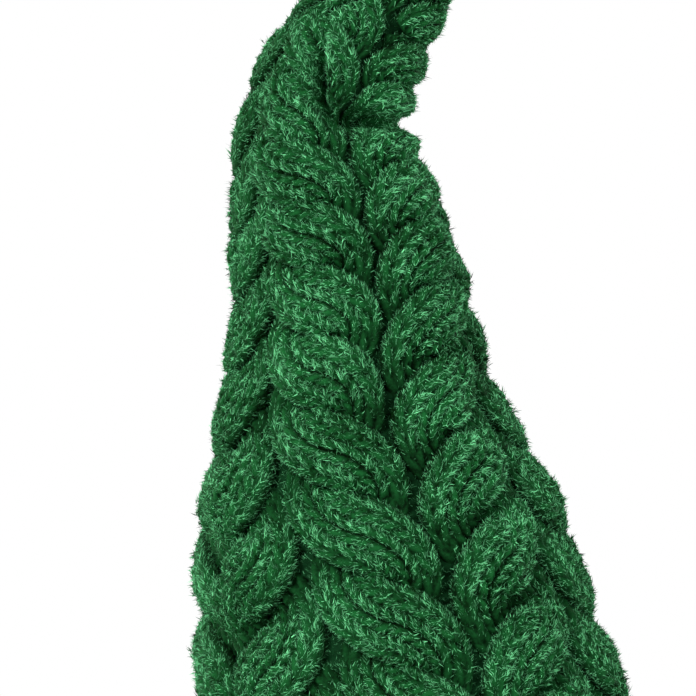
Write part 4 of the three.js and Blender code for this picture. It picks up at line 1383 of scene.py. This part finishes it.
def make_sleeve(side, place):
    """A stuffed sleeve, pulled out to its button, with the stitches of its seam and its hairs."""
    wrist = place[4]
    turn = np.linspace(0, np.pi / 2, 8)
    straight = np.linspace(4, wrist + 3, 16)
    down = np.concatenate((-SHOULDER_RADIUS * np.cos(turn), straight, [wrist + 4]))
    out = np.concatenate((SHOULDER_RADIUS * np.sin(turn), np.linspace(SLEEVE_TOP, SLEEVE_END, 16), [12]))
    angle = np.linspace(0, 2 * np.pi, 40, endpoint=False)[None]
    from_outside = np.minimum(angle, 2 * np.pi - angle)
    seat = SEAT_HEIGHT * hump(from_outside, 0.95) * hump(down[:, None] + 3, 9.5)
    drawn = bmesh.new()
    rolled(drawn, shut(on_arm(place, angle, down[:, None], out[:, None] * 0.97 + seat)))
    sleeve = piece_from(drawn, f"sleeve_felt_{side}", FELT)
    stuffed(sleeve, swell=1.1, voxel=4.0, pressure=60)
    tree = skin_tree(sleeve)
    drawn = bmesh.new()
    axis, inner = np.array(place[1]), np.array(place[3]) * -1
    side_way = np.cross(axis, inner)
    for step in np.arange(0, wrist - 9, 4.0):
        at = np.array(place[0]) + axis * step * MM + inner * 0.06
        half = (side_way + axis * 0.4) * 1.2 * MM
        sewn(drawn, tree, (at - half, at + half), inner, thick=0.32)
    seam = piece_from(drawn, f"sleeve_thread_{side}", GREY_THREAD)
    hairs = hairs_on(sleeve, f"sleeve_hairs_{side}", FELT_HAIRS, density=1.3, length=(0.7, 1.8))
    return sleeve, seam, hairs


ARM_RIBS = 14
CUFF_MIDDLE = 16.0
CUFF_HALF = 7.2


def make_arm_cuff(side, place):
    """A ribbed cuff round the wrist, the flat band behind its ribs, and its fuzz."""
    wrist = place[4]
    run = np.arange(-CUFF_HALF, CUFF_HALF, 0.55)
    ends = np.sqrt(np.clip(1 - (np.abs(run) / CUFF_HALF) ** 5, 0.02, 1))
    width = np.full(len(run), 0.86 * 2 * np.pi * CUFF_MIDDLE / ARM_RIBS)
    drawn = bmesh.new()
    batches = []
    for rib in range(ARM_RIBS):
        sideways, outward, relief = strand_offsets(run + 0.5 * rib, width, 1.7 * ends, 1, 0.9)
        angle = 2 * np.pi * rib / ARM_RIBS + sideways / CUFF_MIDDLE
        places = shut(on_arm(place, angle, wrist + run[:, None], CUFF_MIDDLE - 0.4 + outward))
        # Painted shade: each rib's tint follows its stitch relief.
        rolled(drawn, places[::-1], 0.3 + 0.5 * relief[::-1])
        batches.append(scattered(places, np.ones(len(places)), relief, 1, 3.0, lift=(2, 30)))
    knit = piece_from(drawn, f"cuff_ribs_{side}", CREAM_YARN)
    angle = np.linspace(0, 2 * np.pi, 40, endpoint=False)[None]
    down = wrist + np.linspace(-CUFF_HALF + 0.5, CUFF_HALF - 0.5, 8)[:, None]
    outer, inner = (on_arm(place, angle, down, CUFF_MIDDLE - deep) for deep in (0, 1.4))
    wall = np.concatenate((outer, inner[::-1], outer[:1]))
    drawn = bmesh.new()
    # Painted shade: the band behind the ribs gets a low tint.
    rolled(drawn, wall, np.full(wall.shape[:2], 0.1))
    under = piece_from(drawn, f"cuff_band_{side}", CREAM_YARN)
    fuzz = fibre_piece(f"cuff_fuzz_{side}", batches, CREAM_FUZZ, 0.2)
    return knit, under, fuzz


def make_mitten(side, place):
    """A stuffed mitten, the overcast stitches round its edge and its hairs."""
    mitten = copy_of(f"mitten_{side}", f"mitten_felt_{side}", GREEN_FELT)
    stuffed(mitten, swell=0.8, voxel=3.0, pressure=60)
    tree = skin_tree(mitten)
    middle = np.array(place[0]) + np.array(place[1]) * (place[4] + 17) * MM
    axis, outward, forward = (np.array(way) for way in place[1:4])
    drawn = bmesh.new()
    for turn in np.radians(np.arange(-68, 250, 7.5)):
        way = axis * math.sin(turn) + forward * math.cos(turn)
        at = middle + way * 0.06
        half = outward * 1.5 * MM
        sewn(drawn, tree, (at - half, at + half), way, thick=0.4)
    edging = piece_from(drawn, f"mitten_thread_{side}", THREAD)
    hairs = hairs_on(mitten, f"mitten_hairs_{side}", GREEN_HAIRS, density=1.6, length=(0.7, 1.8))
    return mitten, edging, hairs


# %% A wooden button with its thread
HOLE_RADIUS, HOLE_OFFSET = 0.95, 2.4


def make_button(side, sign):
    """A dished wooden button with two holes, and the doubled thread through them."""
    low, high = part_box(f"shoulder_button_{side}")
    size, thick = (high.z - low.z) / 2 / MM, (high.x - low.x) / MM
    rim = round_edge(size, 0.8, thick, 9)
    dish = [(size * 0.78, thick), (size * 0.66, thick - 0.7), (size * 0.4, thick - 0.95), (0, thick - 1.0)]
    lean = Vector((0, 0, 1)).rotation_difference(Vector((sign, 0, 0))).to_matrix()
    place = Vector((low.x if sign > 0 else high.x, (low.y + high.y) / 2, (low.z + high.z) / 2))
    profile = [(0, 0), (size * 0.7, 0), *rim, *dish]
    button = spun(f"button_wood_{side}", profile, NOSE_WOOD, 64, place, lean)
    hole = [(0, -3), (HOLE_RADIUS, -3), (HOLE_RADIUS, 3), (0, 3)]
    for way in (-1, 1):
        at = place + Vector((sign * thick / 2 * MM, 0, way * HOLE_OFFSET * MM))
        drill = spun(f"drill_{way}", hole, NOSE_WOOD, 24, at, lean)
        cut = button.modifiers.new("hole", "BOOLEAN")
        cut.object, cut.operation, cut.solver = drill, "DIFFERENCE", "EXACT"
        settle(button)
        bpy.data.objects.remove(drill)
    drawn = bmesh.new()
    for aside in (-0.45, 0.45):
        share = np.linspace(-1, 1, 15)
        rise = (thick - 0.9 + 1.1 * np.cos(share * np.pi / 2) ** 0.5 - 1.6 * (np.abs(share) > 0.9)) * MM
        path = (place.x + sign * rise, place.y + aside * MM + 0 * share, place.z + 2.5 * share * MM)
        rolled(drawn, tube_places(np.stack(path, axis=1), 0.42 * MM, sides=8))
    thread = piece_from(drawn, f"button_thread_{side}", THREAD)
    return button, thread


# %% Make both arms
for side, sign in SIDES:
    place = arm_frame(side, sign)
    sleeve, seam, sleeve_hairs = make_sleeve(side, place)
    knit, under, fuzz = make_arm_cuff(side, place)
    mitten, edging, mitten_hairs = make_mitten(side, place)
    button, thread = make_button(side, sign)
    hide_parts(f"sleeve_{side}")
    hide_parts(f"cuff_{side}")
    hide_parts(f"mitten_{side}")
    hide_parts(f"shoulder_button_{side}")
    finishes = {sleeve: "body_felt", sleeve_hairs: "body_felt", seam: "thread"}
    finishes |= {knit: "cuff_knit", under: "cuff_knit", fuzz: "cuff_knit"}
    finishes |= {mitten: "mitten_felt", mitten_hairs: "mitten_felt", edging: "thread"}
    finishes |= {button: "bare_wood", thread: "thread"}
    for piece, kind in finishes.items():
        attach(piece, f"arm_{side}")

# %% [markdown]
# ## The boots
#
# The boots are thick charcoal felt, moulded and stuffed, on leather soles. The sole stands out as a welt
# all round, and a row of cream saddle stitches holds it. The soles are remeshed finely, so their edges
# round off as worn leather does.


# %% Make both boots
WELT_STITCHES = 52


def make_boot(side):
    """A boot's stuffed felt, its hairs, its leather sole and the stitches of its welt."""
    boot = copy_of(f"boot_{side}", f"boot_felt_{side}", BOOT_FELT)
    stuffed(boot, swell=0.9, voxel=3.0)
    hairs = hairs_on(boot, f"boot_hairs_{side}", BOOT_HAIRS, density=1.4, length=(0.6, 1.7))
    sole = copy_of(f"boot_sole_{side}", f"boot_leather_sole_{side}", LEATHER)
    evened(sole, 1.1)
    rounded_off(sole)
    low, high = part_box(f"boot_sole_{side}")
    middle = (low + high) / 2
    tree, sole_tree = skin_tree(boot), skin_tree(sole)
    drawn = bmesh.new()
    for number in range(WELT_STITCHES):
        ends = []
        for part in (-0.36, 0.36):
            turn = 2 * np.pi * (number + part) / WELT_STITCHES
            way = Vector((math.cos(turn), math.sin(turn), 0))
            foot = Vector((middle.x, middle.y, high.z + 1.2 * MM))
            inner = tree.ray_cast(foot + way * 0.08, -way)[0]
            outer = sole_tree.ray_cast(middle + way * 0.08, -way)[0]
            if inner and outer:
                at = (inner + outer) / 2
                ends.append(Vector((at.x, at.y, high.z + 0.1 * MM)))
        if len(ends) == 2 and (ends[0] - ends[1]).length < 6 * MM:
            stitch(drawn, *ends, (0, 0, 1), thick=0.4)
    welt = piece_from(drawn, f"welt_thread_{side}", THREAD)
    return boot, hairs, sole, welt


for side, _ in SIDES:
    boot, hairs, sole, welt = make_boot(side)
    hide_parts(f"boot_{side}")
    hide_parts(f"boot_sole_{side}")
    for piece, kind in ((boot, "boot_felt"), (hairs, "boot_felt"), (sole, "boot_sole"), (welt, "thread")):
        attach(piece, "figure")
